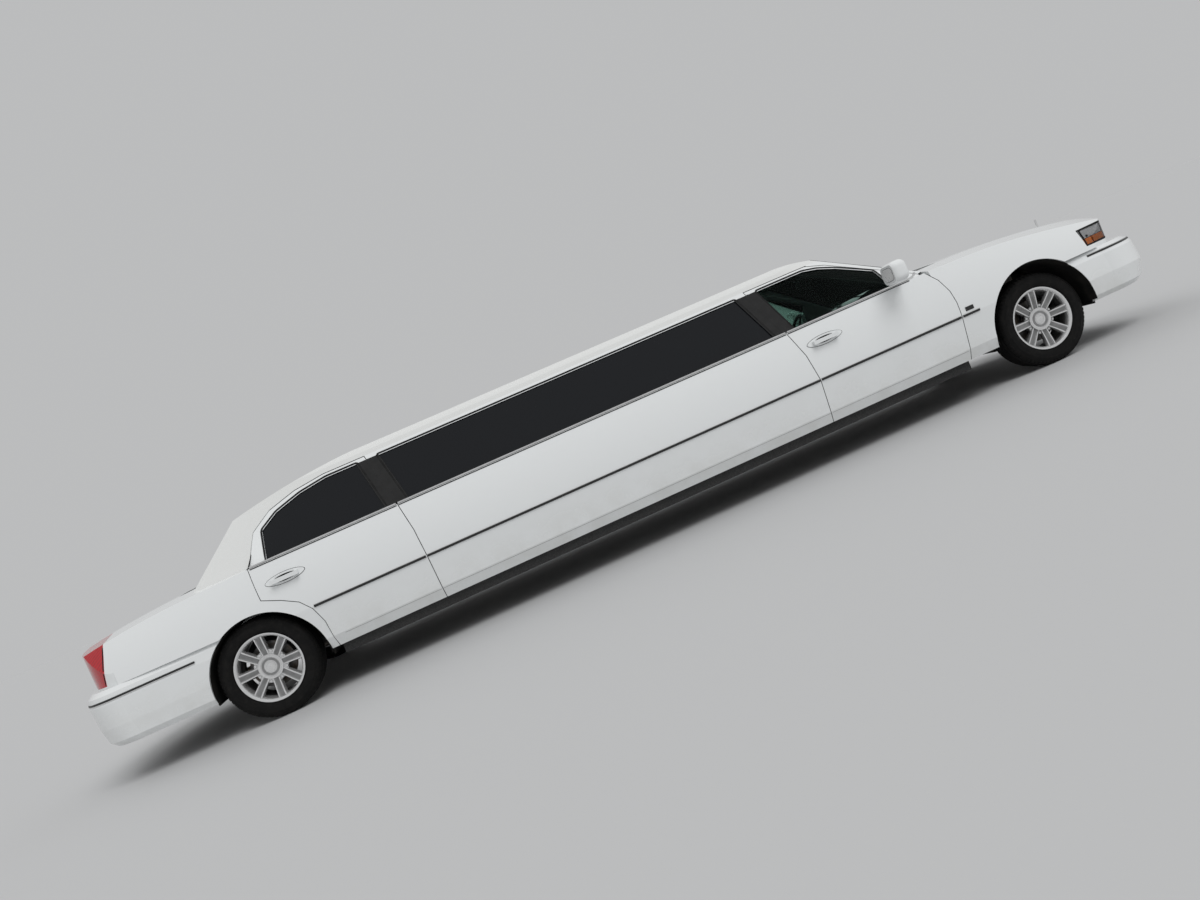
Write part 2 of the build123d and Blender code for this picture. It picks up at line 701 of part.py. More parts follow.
def bumper(wire_at, levels, top, arch):
    """Outer form less its hollow; the arms end at the wheel arch."""
    solid = Solid.make_loft([wire_at(z, inset) for z, inset in levels], True)
    hollow = [wire_at(levels[0][0] - 10, bumper_wall + levels[0][1]),
              wire_at(levels[2][0], bumper_wall + levels[2][1]),
              wire_at(top - bumper_shelf, bumper_wall + levels[-2][1])]
    solid = solid - Solid.make_loft(hollow, True)
    return solid - arch


front_bumper = bumper(front_bumper_wire, front_bumper_levels, front_bumper_top, front_arch)
front_bumper = front_bumper - box(front_x, front_x + 600, -800, 800, 0, 1000)
front_bumper = front_bumper - box(front_x, front_x + 800, -650, 650, 0, 1000)
front_bumper = max(front_bumper.solids(), key=lambda s: s.volume)
rear_bumper = bumper(rear_bumper_wire, rear_bumper_levels, rear_bumper_top, rear_arch)
rear_bumper = rear_bumper - box(rear_x - 800, rear_x, -830, 830, 0, 1000)
rear_bumper = rear_bumper - box(rear_x - 1205, rear_x, -600, 600, 0, 1000)
rear_bumper = max(rear_bumper.solids(), key=lambda s: s.volume)

# Grille: a bright frame round upright bars, standing on the bumper shelf
grille_bars = 17
grille_frame = 26
grille_depth = 46
grille_top_z = 840


def grille_piece():
    y = grille_half - 12
    x0 = front_x + 880
    low = front_bumper_top
    top_half = y - 34

    def shape(inset, a, b):
        outline = [(-y + inset, low + inset), (-top_half + inset, grille_top_z - inset),
                   (top_half - inset, grille_top_z - inset), (y - inset, low + inset)]
        return front_prism(outline, a, b)

    solid = shape(0, x0, x0 + grille_depth + 14) - shape(grille_frame, x0 - 1, x0 + grille_depth + 20)
    solid = solid + shape(grille_frame - 2, x0, x0 + 8)
    pitch = 2 * (top_half - grille_frame) / (grille_bars + 1)
    for i in range(grille_bars):
        centre = -top_half + grille_frame + pitch * (i + 1)
        solid = solid + box(x0 + 4, x0 + grille_depth, centre - 5, centre + 5, low + 10, grille_top_z - 10)
    return solid


grille = grille_piece()

# Running gear under the floor
rail_inner = 400
rail_outer = 480
floor_z = 300
floor_top = 325
rail_low = 205
rail_view = [
    (front_x + 860, 340), (front_x + 860, 440), (front_x - 420, 440), (front_x - 700, floor_z),
    (rear_x + 425, floor_z), (rear_x + 390, 520), (rear_x - 380, 520), (rear_x - 560, 440),
    (rear_x - 1200, 440), (rear_x - 1200, 360), (rear_x - 520, 360), (rear_x - 340, 430),
    (rear_x + 300, 430), (rear_x + 430, rail_low), (front_x - 640, rail_low), (front_x - 360, 340),
]
tie_hole = 12
tie_y = (rail_inner + rail_outer) / 2
tie_places = [rear_x + 700, front_x - 900]
rail = side_prism(rail_view, rail_inner, rail_outer)
for x in tie_places:
    rail = rail - cylinder_z(x, tie_y, tie_hole, 0, 600)
frame_rails = both(rail)
member_low = 208
member_high = 236
member_places = [rear_x + 900, rear_x + 1700, rear_x + 2500, rear_x + 3300, front_x - 1900, front_x - 1150]
members = [box(x, x + 90, -rail_inner, rail_inner, member_low, member_high) for x in member_places]
members.append(box(rear_x - 1180, rear_x - 1110, -rail_inner, rail_inner, 380, 430))
members.append(box(front_x + 780, front_x + 850, -rail_inner, rail_inner, 350, 430))
crossmembers = Compound([s for m in members for s in m.solids()])

# Floor: sills, pan and tunnel as one profile, then the raised floor and the trunk floor
sill_inner = 780
sill_half = 903
heel_x = rear_x + 450
fire_x = front_x - 590
kick_z = 540
trunk_floor_z = 450
tunnel_half = 112
tunnel_top = 470
big_tunnel_half = 205
big_tunnel_top = 590


def floor_section(half, top, x0, x1):
    left = [(sill_half, 215), (sill_half, sill_z - shut_gap), (862, sill_z - shut_gap), (862, 332),
            (838, 332), (838, floor_top), (half, floor_top), (half - 25, top)]
    under = [(-half + 50, top - 25), (-half + 25, floor_z), (-sill_inner, floor_z),
             (-sill_inner, 215)]
    outline = left + [(-y, z) for y, z in reversed(left)]
    outline = outline + [(-y, z) for y, z in [(sill_inner, 215), (sill_inner, floor_z),
                                               (half - 25, floor_z), (half - 50, top - 25)]]
    outline = outline + [(-y, z) for y, z in under]
    return front_prism(outline, x0, x1)


tunnel_step = front_x - 1350
floor_rear = rear_x + 490
floor_front = front_x - 662
floor_pan = floor_section(tunnel_half, tunnel_top, floor_rear, tunnel_step)
floor_pan = floor_pan + floor_section(big_tunnel_half, big_tunnel_top, tunnel_step, floor_front)
floor_pan = floor_pan + box(heel_x - 20, floor_rear + 1, -555, 555, floor_z, floor_top)
kick_view = [(heel_x, floor_top - 1), (heel_x, kick_z + 25), (rear_x - 470, kick_z + 25),
             (rear_x - 560, trunk_floor_z + 22), (rear_x - 1190, trunk_floor_z + 22),
             (rear_x - 1190, trunk_floor_z), (rear_x - 570, trunk_floor_z),
             (rear_x - 480, kick_z), (heel_x - 22, kick_z), (heel_x - 22, floor_top - 1)]
floor_pan = floor_pan + side_prism(kick_view, -548, 548)
shaft_hole = box(heel_x - 40, floor_rear + 2, 12 - tunnel_half + 50, tunnel_half - 62, 200, 440)
floor_pan = floor_pan - shaft_hole - frame_rails

# Cross panels: firewall with hinge posts, radiator and its bar, rear shelf
gearbox_hole = box(fire_x - 5, fire_x + 40, -190, 190, 0, 600)
firewall = box(fire_x, fire_x + 28, -852, 852, 332, 958) - gearbox_hole
hinge_posts = box(fire_x - 70, fire_x + 5, 782, 850, 332, 958)
front_strap = hinge_strap(front_hinge_x, [(front_hinge_x + 38, 846), (front_hinge_x + 62, 846)])
for piece in (hinge_posts, front_strap):
    firewall = firewall + piece + mirrored(piece)
firewall = firewall - frame_rails
radiator = box(front_x + 690, front_x + 745, -360, 360, 440.2, 800)
radiator = radiator + box(front_x + 700, front_x + 740, -470, 470, 440, 470)
cross_panels = Compound([*firewall.solids(), *radiator.solids(), *shelf.solids()])

# Liners over the wheels
liner_wall = 8


def liner(x, z, radius, y0, y1):
    ring = cylinder_y(x, z, radius + liner_wall, y0, y1) - cylinder_y(x, z, radius, y0 - 1, y1 + 1)
    return ring - box(x - 600, x + 600, y0 - 10, y1 + 10, -200, z - 60)


nose_inside = lower_body(skin_wall + seat_gap)[0]
tail_inside = lower_body(skin_wall + seat_gap)[2]
front_liner = (liner(front_x, front_arch_z, front_arch_radius, 560, 1000) & nose_inside) - front_bumper
front_liner = max(front_liner.solids(), key=lambda s: s.volume)
rear_liner_ring = liner(rear_x + rear_arch_shift, rear_arch_z, rear_arch_radius, 560, 1000)
rear_liner = rear_liner_ring & box(rear_x - 600, rear_x + 600, 500, 935, 0, 1000)
rear_liner = max((rear_liner - quarter - rear_bumper).solids(), key=lambda s: s.volume)
wheelhouses = Compound([*both(front_liner).solids(), *both(rear_liner).solids()])

# Tail panel under the lid
tail_panel = box(rear_x - 1205, rear_x - 1190, -545, 545, 440, lid_low_z - 12)

# Engine block, gearbox and shaft
engine = box(front_x - 420, front_x + 300, -265, 265, 430, 850)
engine = chamfer(engine.edges().filter_by(Axis.X), 70)
engine = engine + box(front_x - 50, front_x + 50, -rail_inner, rail_inner, 370, 431)
gearbox_z = 410
shaft_radius = 45
gearbox = cylinder_x(0, gearbox_z, 150, front_x - 640, front_x - 420)
gearbox = gearbox + cylinder_x(0, gearbox_z, 95, front_x - 1260, front_x - 640)
driveline = gearbox + cylinder_x(0, 375, shaft_radius, rear_x + 210, front_x - 1250)

# Front suspension: crossmember under the engine with a lower arm to each knuckle
kingpin_y = front_track / 2 - kingpin_offset
arm_low = 196
arm_high = 226
arm_plan = [(front_x - 150, 395), (front_x - 26, kingpin_y), (front_x + 26, kingpin_y),
            (front_x + 150, 395)]
arm = plan_prism(arm_plan, arm_low, arm_high) + cylinder_z(front_x, kingpin_y, 26, arm_low, arm_high)
cross = box(front_x - 70, front_x + 70, -rail_inner, rail_inner, arm_low, 366)
cross = cross + box(front_x - 150, front_x + 150, -rail_inner, rail_inner, arm_low, arm_high)
front_suspension = fused(cross, arm, mirrored(arm))

# Rear axle with its pinion nose, links and springs
axle_radius = 42
axle_half = rear_track / 2 - 95
rear_axle = cylinder_y(rear_x, axle_z, axle_radius, -axle_half, axle_half)
rear_axle = rear_axle + cylinder_y(rear_x, axle_z, 125, -95, 95)
rear_axle = rear_axle + cylinder_x(0, 350, 70, rear_x, rear_x + 210)
link_view = [(rear_x, 295), (rear_x + 400, 295), (rear_x + 400, 330), (rear_x, 335)]
link = side_prism(link_view, 420, 460) - frame_rails
spring = cylinder_z(rear_x, 440, 58, axle_z, 430)
for piece in (link, spring):
    rear_axle = rear_axle + piece + mirrored(piece)

# Exhaust pipes with flat mufflers, lying on the crossmembers, and the fuel tank
pipe_radius = 24
pipe_y = 262
pipe_z = member_high + pipe_radius + seat_gap
muffler = box(rear_x + 1080, rear_x + 1600, pipe_y - 110, pipe_y + 110, pipe_z - 23, pipe_z + 32)
muffler = fillet(muffler.edges().filter_by(Axis.X), 20)
pipe = cylinder_x(pipe_y, pipe_z, pipe_radius, rear_x - 1180, front_x - 1100)
exhaust = both(pipe + muffler)
tank = box(rear_x - 1080, rear_x - 580, -225, 225, 270, trunk_floor_z)
fuel_tank = fillet(tank.edges().filter_by(Axis.X), 40)


# Wheels, built at the origin with the axle along Y and the outer face towards +Y
def ring_face(points):
    return Face(Wire.make_polygon([(0, y, r) for y, r in points], close=True))


def revolved(points):
    return revolve(ring_face(points), Axis.Y, 360)


# Tyre: ruled rings of a many-sided polygon, set so that a flat meets the ground
tyre_sides = 60
bead = rim_width / 2 - 13
tyre_section = [(-bead, rim_flange_radius + 1), (-tyre_width / 2, 292),
                (-tyre_width / 2 + 7, tyre_radius - 26), (-tyre_width / 2 + 22, tyre_radius - 9),
                (-70, tyre_radius), (70, tyre_radius), (tyre_width / 2 - 22, tyre_radius - 9),
                (tyre_width / 2 - 7, tyre_radius - 26), (tyre_width / 2, 292),
                (bead, rim_flange_radius + 1)]
tyre_bore = 221.8


def polygon_ring(y, radius):
    """Regular polygon round the axle, its flats at the given radius."""
    corner = radius / cos(pi / tyre_sides)
    angles = [2 * pi * (i + 0.5) / tyre_sides for i in range(tyre_sides)]
    return Wire.make_polygon([(corner * cos(a), y, corner * sin(a)) for a in angles], close=True)


def tyre():
    solid = Solid.make_loft([polygon_ring(y, radius) for y, radius in tyre_section], True)
    hole = Solid.make_loft([polygon_ring(y, tyre_bore) for y in (-bead - 5, bead + 5)], True)
    return solid - hole


hub_bore = 22
spindle_radius = hub_bore - seat_gap
disc_radius = 158
lug_circle = 114.3
lug_hole = 7.5
lug_count = 5
rim_half = rim_width / 2
spoke_face_hub = 62
spoke_face_rim = 84
hub_back = -18


def rim():
    barrel = revolved([
        (-rim_half, rim_flange_radius), (-rim_half + 10, rim_flange_radius), (-rim_half + 13, 221.5),
        (rim_half - 13, 221.5), (rim_half - 10, rim_flange_radius), (rim_half, rim_flange_radius),
        (rim_half, 222), (rim_half - 14, 206), (-rim_half + 4, 206), (-rim_half, 216)])
    hub = revolved([(hub_back, hub_bore), (hub_back, 84), (40, 84), (spoke_face_hub, 66),
                    (spoke_face_hub, 40), (spoke_face_hub + 8, 34), (spoke_face_hub + 8, 1),
                    (46, 1), (46, hub_bore)])
    disc = revolved([(hub_back, 60), (hub_back, disc_radius), (hub_back - 24, disc_radius),
                     (hub_back - 24, 60)])
    solid = fused(barrel, hub, disc)
    profile = [(24, 60), (spoke_face_hub - 4, 60), (spoke_face_rim, 205), (spoke_face_rim, 212),
               (48, 212)]
    groove = [(spoke_face_hub - 6, 74), (spoke_face_hub + 20, 74), (spoke_face_rim + 20, 200),
              (spoke_face_rim - 8, 200)]
    spoke = extrude(ring_face(profile), 27, both=True, dir=(1, 0, 0))
    channel = extrude(ring_face(groove), 15, both=True, dir=(1, 0, 0))
    spoke = spoke - channel
    for i in range(spoke_count):
        solid = solid + Rot(0, i * 360 / spoke_count, 0) * spoke
    for i in range(lug_count):
        angle = radians(i * 360 / lug_count + 18)
        x, z = lug_circle / 2 * cos(angle), lug_circle / 2 * sin(angle)
        solid = solid - cylinder_y(x, z, lug_hole, hub_back - 1, 100)
    return solid


tyre_blank = tyre()
rim_blank = rim()


def place_wheel(shape, x, y):
    """Right wheels are turned half round so that the outer face is outward."""
    turned = shape if y > 0 else Rot(0, 0, 180) * shape
    return Pos(x, y, axle_z) * turned


wheel_places = {
    "front_left": (front_x, front_track / 2), "front_right": (front_x, -front_track / 2),
    "rear_left": (rear_x, rear_track / 2), "rear_right": (rear_x, -rear_track / 2),
}


def knuckle():
    """Left knuckle: spindle, upright between the ball joints, and brake caliper."""
    y = front_track / 2
    solid = cylinder_y(front_x, axle_z, spindle_radius, y - 96, y + 40)
    solid = solid + box(front_x - 32, front_x + 32, y - 98, y - 56, arm_high + 26, 470)
    solid = solid + cylinder_z(front_x, kingpin_y, 26, arm_high + seat_gap, arm_high + 40)
    caliper = box(front_x - 190, front_x - 100, y - 92, y - 48, axle_z - 60, axle_z + 60)
    web = box(front_x - 110, front_x, y - 92, y - 66, axle_z - 40, axle_z + 40)
    return fused(solid, caliper, web)


knuckle_left = knuckle()
axle_stub = cylinder_y(rear_x, axle_z, spindle_radius, axle_half - 1, rear_track / 2 + 40)
rear_axle = rear_axle + axle_stub + mirrored(axle_stub)

# Cabin fittings
seat_view = [(front_x - 1920, floor_top + seat_gap), (front_x - 1500, floor_top + seat_gap),
             (front_x - 1450, 430), (front_x - 1445, 548), (front_x - 1520, 575),
             (front_x - 1850, 552), (front_x - 2000, 1050), (front_x - 2100, 1060),
             (front_x - 2108, 1000), (front_x - 1975, 480)]
seat_inner = 125
seat_outer = 625
seat = side_prism(seat_view, seat_inner, seat_outer)
rest_view = [(front_x - 2040, 1030), (front_x - 2062, 1030), (front_x - 2118, 1240),
             (front_x - 2030, 1240), (front_x - 2020, 1110), (front_x - 2045, 1100)]
seat_y = (seat_inner + seat_outer) / 2
seat = seat + side_prism(rest_view, seat_y - 120, seat_y + 120)
front_seats = both(seat)

bench_view = [(rear_x + 150, kick_z + 25 + seat_gap), (heel_x + seat_gap, kick_z + 25 + seat_gap),
              (heel_x + seat_gap, floor_top + seat_gap), (rear_x + 700, floor_top + seat_gap),
              (rear_x + 715, 640), (rear_x + 650, 690), (rear_x + 215, 660), (rear_x + 60, 1060),
              (rear_x - 60, 1075), (rear_x - 90, 1020), (rear_x + 60, 620)]
bench = side_prism(bench_view, -545, 545)
bench = bench - box(heel_x - 10, rear_x + 900, -tunnel_half - 2, tunnel_half + 2, 0, tunnel_top + 2)
side_bench_x0 = rear_x + 1400
side_bench_x1 = front_x - 2360
lounge_view = [(420, floor_top + seat_gap), (830, floor_top + seat_gap), (846, 700), (840, 985),
               (765, 985), (740, 660), (400, 640), (395, 560)]
side_bench = front_prism(lounge_view, side_bench_x0, side_bench_x1)
lounge_seats = Compound([*bench.solids(), *side_bench.solids()])

partition_x = front_x - 2200
partition = box(partition_x, partition_x + 40, -835, 835, floor_top + seat_gap, 985)
partition = partition + front_prism([(-835, 980), (835, 980), (636, 1362), (600, 1385), (-600, 1385), (-636, 1362)],
                                    partition_x, partition_x + 40)
partition = partition - box(partition_x - 1, partition_x + 41, -560, 560, 1000, 1300)
partition = partition - box(partition_x - 1, partition_x + 41, -tunnel_half - 2, tunnel_half + 2, 300,
                            tunnel_top + 2)
cabinet = box(rear_x + 1600, rear_x + 3300, -835, -520, floor_top + seat_gap, 850)
cabinet = cabinet - box(rear_x + 1700, rear_x + 2600, -800, -500, 560, 800)
partition_and_bar = Compound([*partition.solids(), *cabinet.solids()])

dash_front = fire_x - seat_gap
dash_view = [(dash_front, 600), (dash_front, 955), (front_x - 800, 985), (front_x - 985, 965),
             (front_x - 1050, 905), (front_x - 1040, 740), (front_x - 900, 620)]
column_angle = 24
wheel_x = front_x - 1300
wheel_y = 375
wheel_z = 925
column_dir = Vector(-cos(radians(column_angle)), 0, sin(radians(column_angle)))
wheel_centre = Vector(wheel_x, wheel_y, wheel_z)


def on_column(shape):
    """Places a shape built round Z at the steering wheel, Z pointing at the driver."""
    plane = Plane(origin=wheel_centre, x_dir=(0, 1, 0), z_dir=column_dir)
    return plane.location * shape


dashboard = side_prism(dash_view, -775, 775)
column = on_column(Pos(0, 0, -167.3) * Cylinder(32, 270))
dashboard = dashboard + column
steering_section = [(168, 0), (175, 12), (189, 12), (196, 0), (189, -12), (175, -12)]
steering_face = Face(Wire.make_polygon([(r, 0, z) for r, z in steering_section], close=True))
steering_rim = revolve(steering_face, Axis.Z, 360)
steering_hub = Pos(0, 0, -14) * Cylinder(62, 36)
steering_spokes = fused(Pos(0, 0, -8) * Box(350, 34, 14), Pos(0, -60, -8) * Box(34, 230, 14))
steering_wheel = on_column(fused(steering_rim, steering_hub, steering_spokes))

save("roof_panel", roof)
save("windshield_posts", both(windshield_post))
save("rear_posts", rear_posts)
save("side_panels", both(side_panel))
save("quarter_panels", both(quarter))
save("front_fenders", both(fender))
save("cowl_panel", cowl)
save("hood", hood)
save("trunk_lid", trunk_lid)
save("tail_panel", tail_panel)
save("cross_panels", cross_panels)
save("wheelhouses", wheelhouses)
save("front_bumper", front_bumper)
save("rear_bumper", rear_bumper)
save("grille", grille)
save("headlamps", both(headlamp))
save("tail_lamps", both(tail_lamp))
save("windshield", windshield)
save("rear_window", rear_window)
save("side_windows", both(long_glass))
save("frame_rails", frame_rails)
save("crossmembers", crossmembers)
save("floor_pan", floor_pan)
save("front_suspension", front_suspension)
save("rear_axle", rear_axle)
save("driveline", driveline)
save("exhaust", exhaust)
save("fuel_tank", fuel_tank)
save("engine_block", engine)
save("front_seats", front_seats)
save("lounge_seats", lounge_seats)
save("partition", partition_and_bar)
save("dashboard", dashboard)
save("steering_wheel", steering_wheel)
for name, left in (("door_front", door_front), ("door_rear", door_rear),
                   ("glass_front", glass_front), ("glass_rear", glass_rear),
                   ("knuckle", knuckle_left)):
    save(f"{name}_left", left)
    save(f"{name}_right", mirrored(left))
for corner, (x, y) in wheel_places.items():
    save(f"tyre_{corner}", place_wheel(tyre_blank, x, y))
    save(f"rim_{corner}", place_wheel(rim_blank, x, y))
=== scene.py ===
import math

import bmesh
import bpy
from mathutils import Matrix, Vector
from mathutils.bvhtree import BVHTree


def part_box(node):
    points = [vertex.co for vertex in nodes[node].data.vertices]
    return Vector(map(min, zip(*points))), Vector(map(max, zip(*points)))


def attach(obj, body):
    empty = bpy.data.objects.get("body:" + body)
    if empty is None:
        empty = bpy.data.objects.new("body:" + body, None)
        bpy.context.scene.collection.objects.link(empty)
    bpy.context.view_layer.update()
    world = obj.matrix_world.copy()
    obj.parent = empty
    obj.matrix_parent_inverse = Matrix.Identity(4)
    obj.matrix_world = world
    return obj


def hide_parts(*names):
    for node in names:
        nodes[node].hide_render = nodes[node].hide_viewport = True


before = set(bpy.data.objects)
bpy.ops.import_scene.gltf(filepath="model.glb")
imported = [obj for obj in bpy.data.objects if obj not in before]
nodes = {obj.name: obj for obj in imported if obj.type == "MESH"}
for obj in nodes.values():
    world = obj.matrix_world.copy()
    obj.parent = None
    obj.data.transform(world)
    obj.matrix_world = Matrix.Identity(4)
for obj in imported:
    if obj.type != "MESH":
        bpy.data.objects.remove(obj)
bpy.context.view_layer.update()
print("frame loaded:", len(nodes), "pieces")


# Places that everything is worked out from
def middle(name):
    low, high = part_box(name)
    return (low + high) / 2


rearX, frontX = middle("tyre_rear_left").x, middle("tyre_front_left").x
rubZ, sillZ = 0.600, 0.285


def fromAxle(axle, *places):
    # side-view points given from an axle
    return [(axle + x, z) for x, z in places]


def spread(first, last, steps):
    # values at equal steps, both ends among them
    return [first + (last - first) * i / steps for i in range(steps + 1)]


def heading(degrees):
    # level direction by its angle in plan
    return Vector((math.cos(math.radians(degrees)), math.sin(math.radians(degrees)), 0.0))


def held(name, data):
    # an object in the scene for a mesh, light or camera
    holder = bpy.data.objects.new(name, data)
    bpy.context.scene.collection.objects.link(holder)
    return holder


def modified(holder):
    # the plain mesh of an object with its modifiers applied; the object goes
    bpy.context.view_layer.update()
    seen = holder.evaluated_get(bpy.context.evaluated_depsgraph_get())
    made = bpy.data.meshes.new_from_object(seen)
    bpy.data.objects.remove(holder)
    return made


# ---- node trees
class Socket:
    # wraps an output socket, so that maths on values reads as Python
    def __init__(self, graph, socket):
        self.graph, self.socket = graph, socket

    def maths(self, operation, *values):
        return self.graph.node("ShaderNodeMath", {"operation": operation}, dict(enumerate(values))).out(0)

    def __add__(self, other):
        return self.maths("ADD", self, other)

    def __sub__(self, other):
        return self.maths("SUBTRACT", self, other)

    def __rsub__(self, other):
        return self.maths("SUBTRACT", other, self)

    def __mul__(self, other):
        return self.maths("MULTIPLY", self, other)

    def __truediv__(self, other):
        return self.maths("DIVIDE", self, other)

    def size(self):
        return self.maths("ABSOLUTE", self)

    def wave(self):
        return self.maths("SINE", self)

    def smooth(self, low, high):
        # 0 below low, 1 above high
        return self.graph.node("ShaderNodeMapRange", {"interpolation_type": "SMOOTHSTEP", "clamp": True},
                               {"Value": self, "From Min": low, "From Max": high}).out(0)


class Made:
    def __init__(self, graph, node):
        self.graph, self.node = graph, node

    def out(self, key):
        return Socket(self.graph, self.node.outputs[key])


class Graph:
    # one node tree; every node is made by the same method
    def __init__(self, tree):
        self.tree = tree

    def node(self, kind, settings, inputs):
        made = self.tree.nodes.new(kind)
        for key, value in settings.items():
            setattr(made, key, value)
        for key, value in inputs.items():
            self.feed(made.inputs[key], value)
        return Made(self, made)

    def feed(self, target, value):
        if isinstance(value, Socket):
            self.tree.links.new(value.socket, target)
        elif isinstance(value, Made):
            self.tree.links.new(value.node.outputs[0], target)
        else:
            target.default_value = value


class Material(Graph):
    def __init__(self, name, **surface):
        self.data = bpy.data.materials.new(name)
        self.data.use_nodes = True
        Graph.__init__(self, self.data.node_tree)
        self.shader = self.tree.nodes["Principled BSDF"]
        self.output = self.tree.nodes["Material Output"]
        for key, value in surface.items():
            self.shader.inputs[key.replace("_", " ")].default_value = value

    def set(self, key, value):
        self.feed(self.shader.inputs[key], value)

    def place(self):
        return self.node("ShaderNodeTexCoord", {}, {}).out("Object")

    def axes(self):
        split = self.node("ShaderNodeSeparateXYZ", {}, {"Vector": self.place()})
        return split.out("X"), split.out("Y"), split.out("Z")

    def noise(self, scale, detail=2.0, rough=0.5):
        return self.node("ShaderNodeTexNoise", {}, {"Vector": self.place(), "Scale": scale, "Detail": detail,
                                                    "Roughness": rough}).out(0)

    def cells(self, scale):
        return self.node("ShaderNodeTexVoronoi", {}, {"Vector": self.place(), "Scale": scale}).out(0)

    def colour(self, factor, first, second):
        mixed = self.node("ShaderNodeMix", {"data_type": "RGBA"}, {0: factor, 6: first, 7: second})
        self.set("Base Color", mixed.out(2))

    def bump(self, height, strength, distance):
        self.set("Normal", self.node("ShaderNodeBump", {}, {"Height": height, "Strength": strength,
                                                            "Distance": distance}).out(0))


class Shaper(Graph):
    # a Geometry Nodes tree with named inputs, run once and turned into a plain mesh
    kinds = {"count": "NodeSocketInt", "switch": "NodeSocketBool", "object": "NodeSocketObject",
             "size": "NodeSocketFloat", "material": "NodeSocketMaterial"}

    def __init__(self, name, inputs):
        Graph.__init__(self, bpy.data.node_groups.new(name, "GeometryNodeTree"))
        face = self.tree.interface
        face.new_socket("Geometry", in_out="INPUT", socket_type="NodeSocketGeometry")
        self.keys = {label: face.new_socket(label, in_out="INPUT", socket_type=self.kinds[kind]).identifier
                     for label, kind in inputs.items()}
        face.new_socket("Geometry", in_out="OUTPUT", socket_type="NodeSocketGeometry")
        self.input = Made(self, self.tree.nodes.new("NodeGroupInput"))
        self.end = self.tree.nodes.new("NodeGroupOutput")

    def given(self, label):
        return self.input.out(label)

    def finish(self, geometry):
        # every face takes the given finish, or keeps the source's own where Recolour is off
        real = self.node("GeometryNodeRealizeInstances", {}, {"Geometry": geometry})
        painted = self.node("GeometryNodeSetMaterial", {}, {"Geometry": real, "Selection": self.given("Recolour"),
                                                            "Material": self.given("Finish")})
        self.feed(self.end.inputs[0], painted)

    def run(self, name, values):
        holder = held(name, bpy.data.meshes.new(name))
        modifier = holder.modifiers.new("shape", "NODES")
        modifier.node_group = self.tree
        for label, value in values.items():
            modifier[self.keys[label]] = value
        made = modified(holder)
        made.name = name
        return made


def grey(level, warm=0.0):
    return (level * (1 + warm), level, level * (1 - warm), 1.0)


# ---- finishes
# name: two colours, metal, shine, roughness and its spread, scales of patches and grain, bump and its depth
finishLooks = {
    "brightTrim": (grey(0.86), grey(0.76), 1.0, 0.5, 0.06, 0.10, 9.0, 300.0, 0.03, 0.0002),
    "blackTrim": (grey(0.012), grey(0.020), 0.0, 0.5, 0.30, 0.15, 20.0, 900.0, 0.10, 0.0003),
    "blackRubber": (grey(0.010), grey(0.018), 0.0, 0.25, 0.60, 0.20, 30.0, 700.0, 0.15, 0.0004),
    # gapBlack is near-black painted shade, for the shut lines and round and inside the door handles
    "gapBlack": (grey(0.006), grey(0.010), 0.0, 0.10, 0.80, 0.10, 30.0, 700.0, 0.10, 0.0004),
    "chassisBlack": (grey(0.020), grey(0.050, 0.12), 0.0, 0.5, 0.55, 0.35, 7.0, 260.0, 0.25, 0.0010),
    "linerBlack": (grey(0.008), grey(0.018, 0.10), 0.0, 0.15, 0.80, 0.15, 11.0, 350.0, 0.35, 0.0012),
    "castMetal": (grey(0.14, 0.05), grey(0.24, 0.10), 0.8, 0.5, 0.45, 0.30, 18.0, 420.0, 0.30, 0.0010),
    "discSteel": (grey(0.20), grey(0.11, 0.20), 1.0, 0.5, 0.30, 0.35, 25.0, 500.0, 0.12, 0.0004),
    "exhaustSteel": (grey(0.32, 0.06), grey(0.18, 0.25), 0.9, 0.5, 0.35, 0.30, 8.0, 300.0, 0.15, 0.0006),
    "seatLeather": ((0.125, 0.120, 0.115, 1.0), (0.155, 0.150, 0.142, 1.0), 0.0, 0.5, 0.40, 0.18, 14.0, 620.0,
                    0.35, 0.0008),
    "cabinTrim": ((0.055, 0.055, 0.060, 1.0), (0.072, 0.072, 0.078, 1.0), 0.0, 0.5, 0.50, 0.20, 12.0, 900.0,
                  0.25, 0.0005),
    "cabinCarpet": (grey(0.030), grey(0.055), 0.0, 0.5, 0.92, 0.05, 160.0, 1400.0, 0.90, 0.0030),
    "glossBlack": (grey(0.007), grey(0.011), 0.0, 0.5, 0.10, 0.08, 16.0, 500.0, 0.03, 0.0002),
    "lampBack": (grey(0.030), grey(0.050), 0.0, 0.5, 0.45, 0.15, 24.0, 500.0, 0.10, 0.0004),
    "lampChrome": (grey(0.92), grey(0.82), 1.0, 0.5, 0.08, 0.10, 40.0, 200.0, 0.20, 0.0008),
    # lampSilver is mostly diffuse: its pale grey is a painted reflection, on the lamp reflectors and the mirror
    # plate
    "lampSilver": (grey(0.94), grey(0.84), 0.25, 0.5, 0.22, 0.12, 40.0, 200.0, 0.15, 0.0006),
    "spokeShade": (grey(0.30), grey(0.38), 0.8, 0.5, 0.30, 0.12, 20.0, 300.0, 0.05, 0.0002),
    "creaseShade": (grey(0.30), grey(0.36), 0.0, 0.5, 0.45, 0.10, 20.0, 300.0, 0.05, 0.0002),
}


def plainFinish(name, first, second, metal, shine, rough, spread, patches, grain, bump, depth):
    made = Material(name, Metallic=metal, Specular_IOR_Level=shine)
    cloud = made.noise(patches, 4.0, 0.6)
    made.colour(cloud.smooth(0.35, 0.65), first, second)
    made.set("Roughness", cloud * spread + rough)
    made.bump(made.noise(grain, 3.0, 0.6), bump, depth)
    return made


finish = {name: plainFinish(name, *look) for name, look in finishLooks.items()}
brightTrim, blackTrim, blackRubber = finish["brightTrim"], finish["blackTrim"], finish["blackRubber"]
gapBlack, glossBlack, seatLeather = finish["gapBlack"], finish["glossBlack"], finish["seatLeather"]
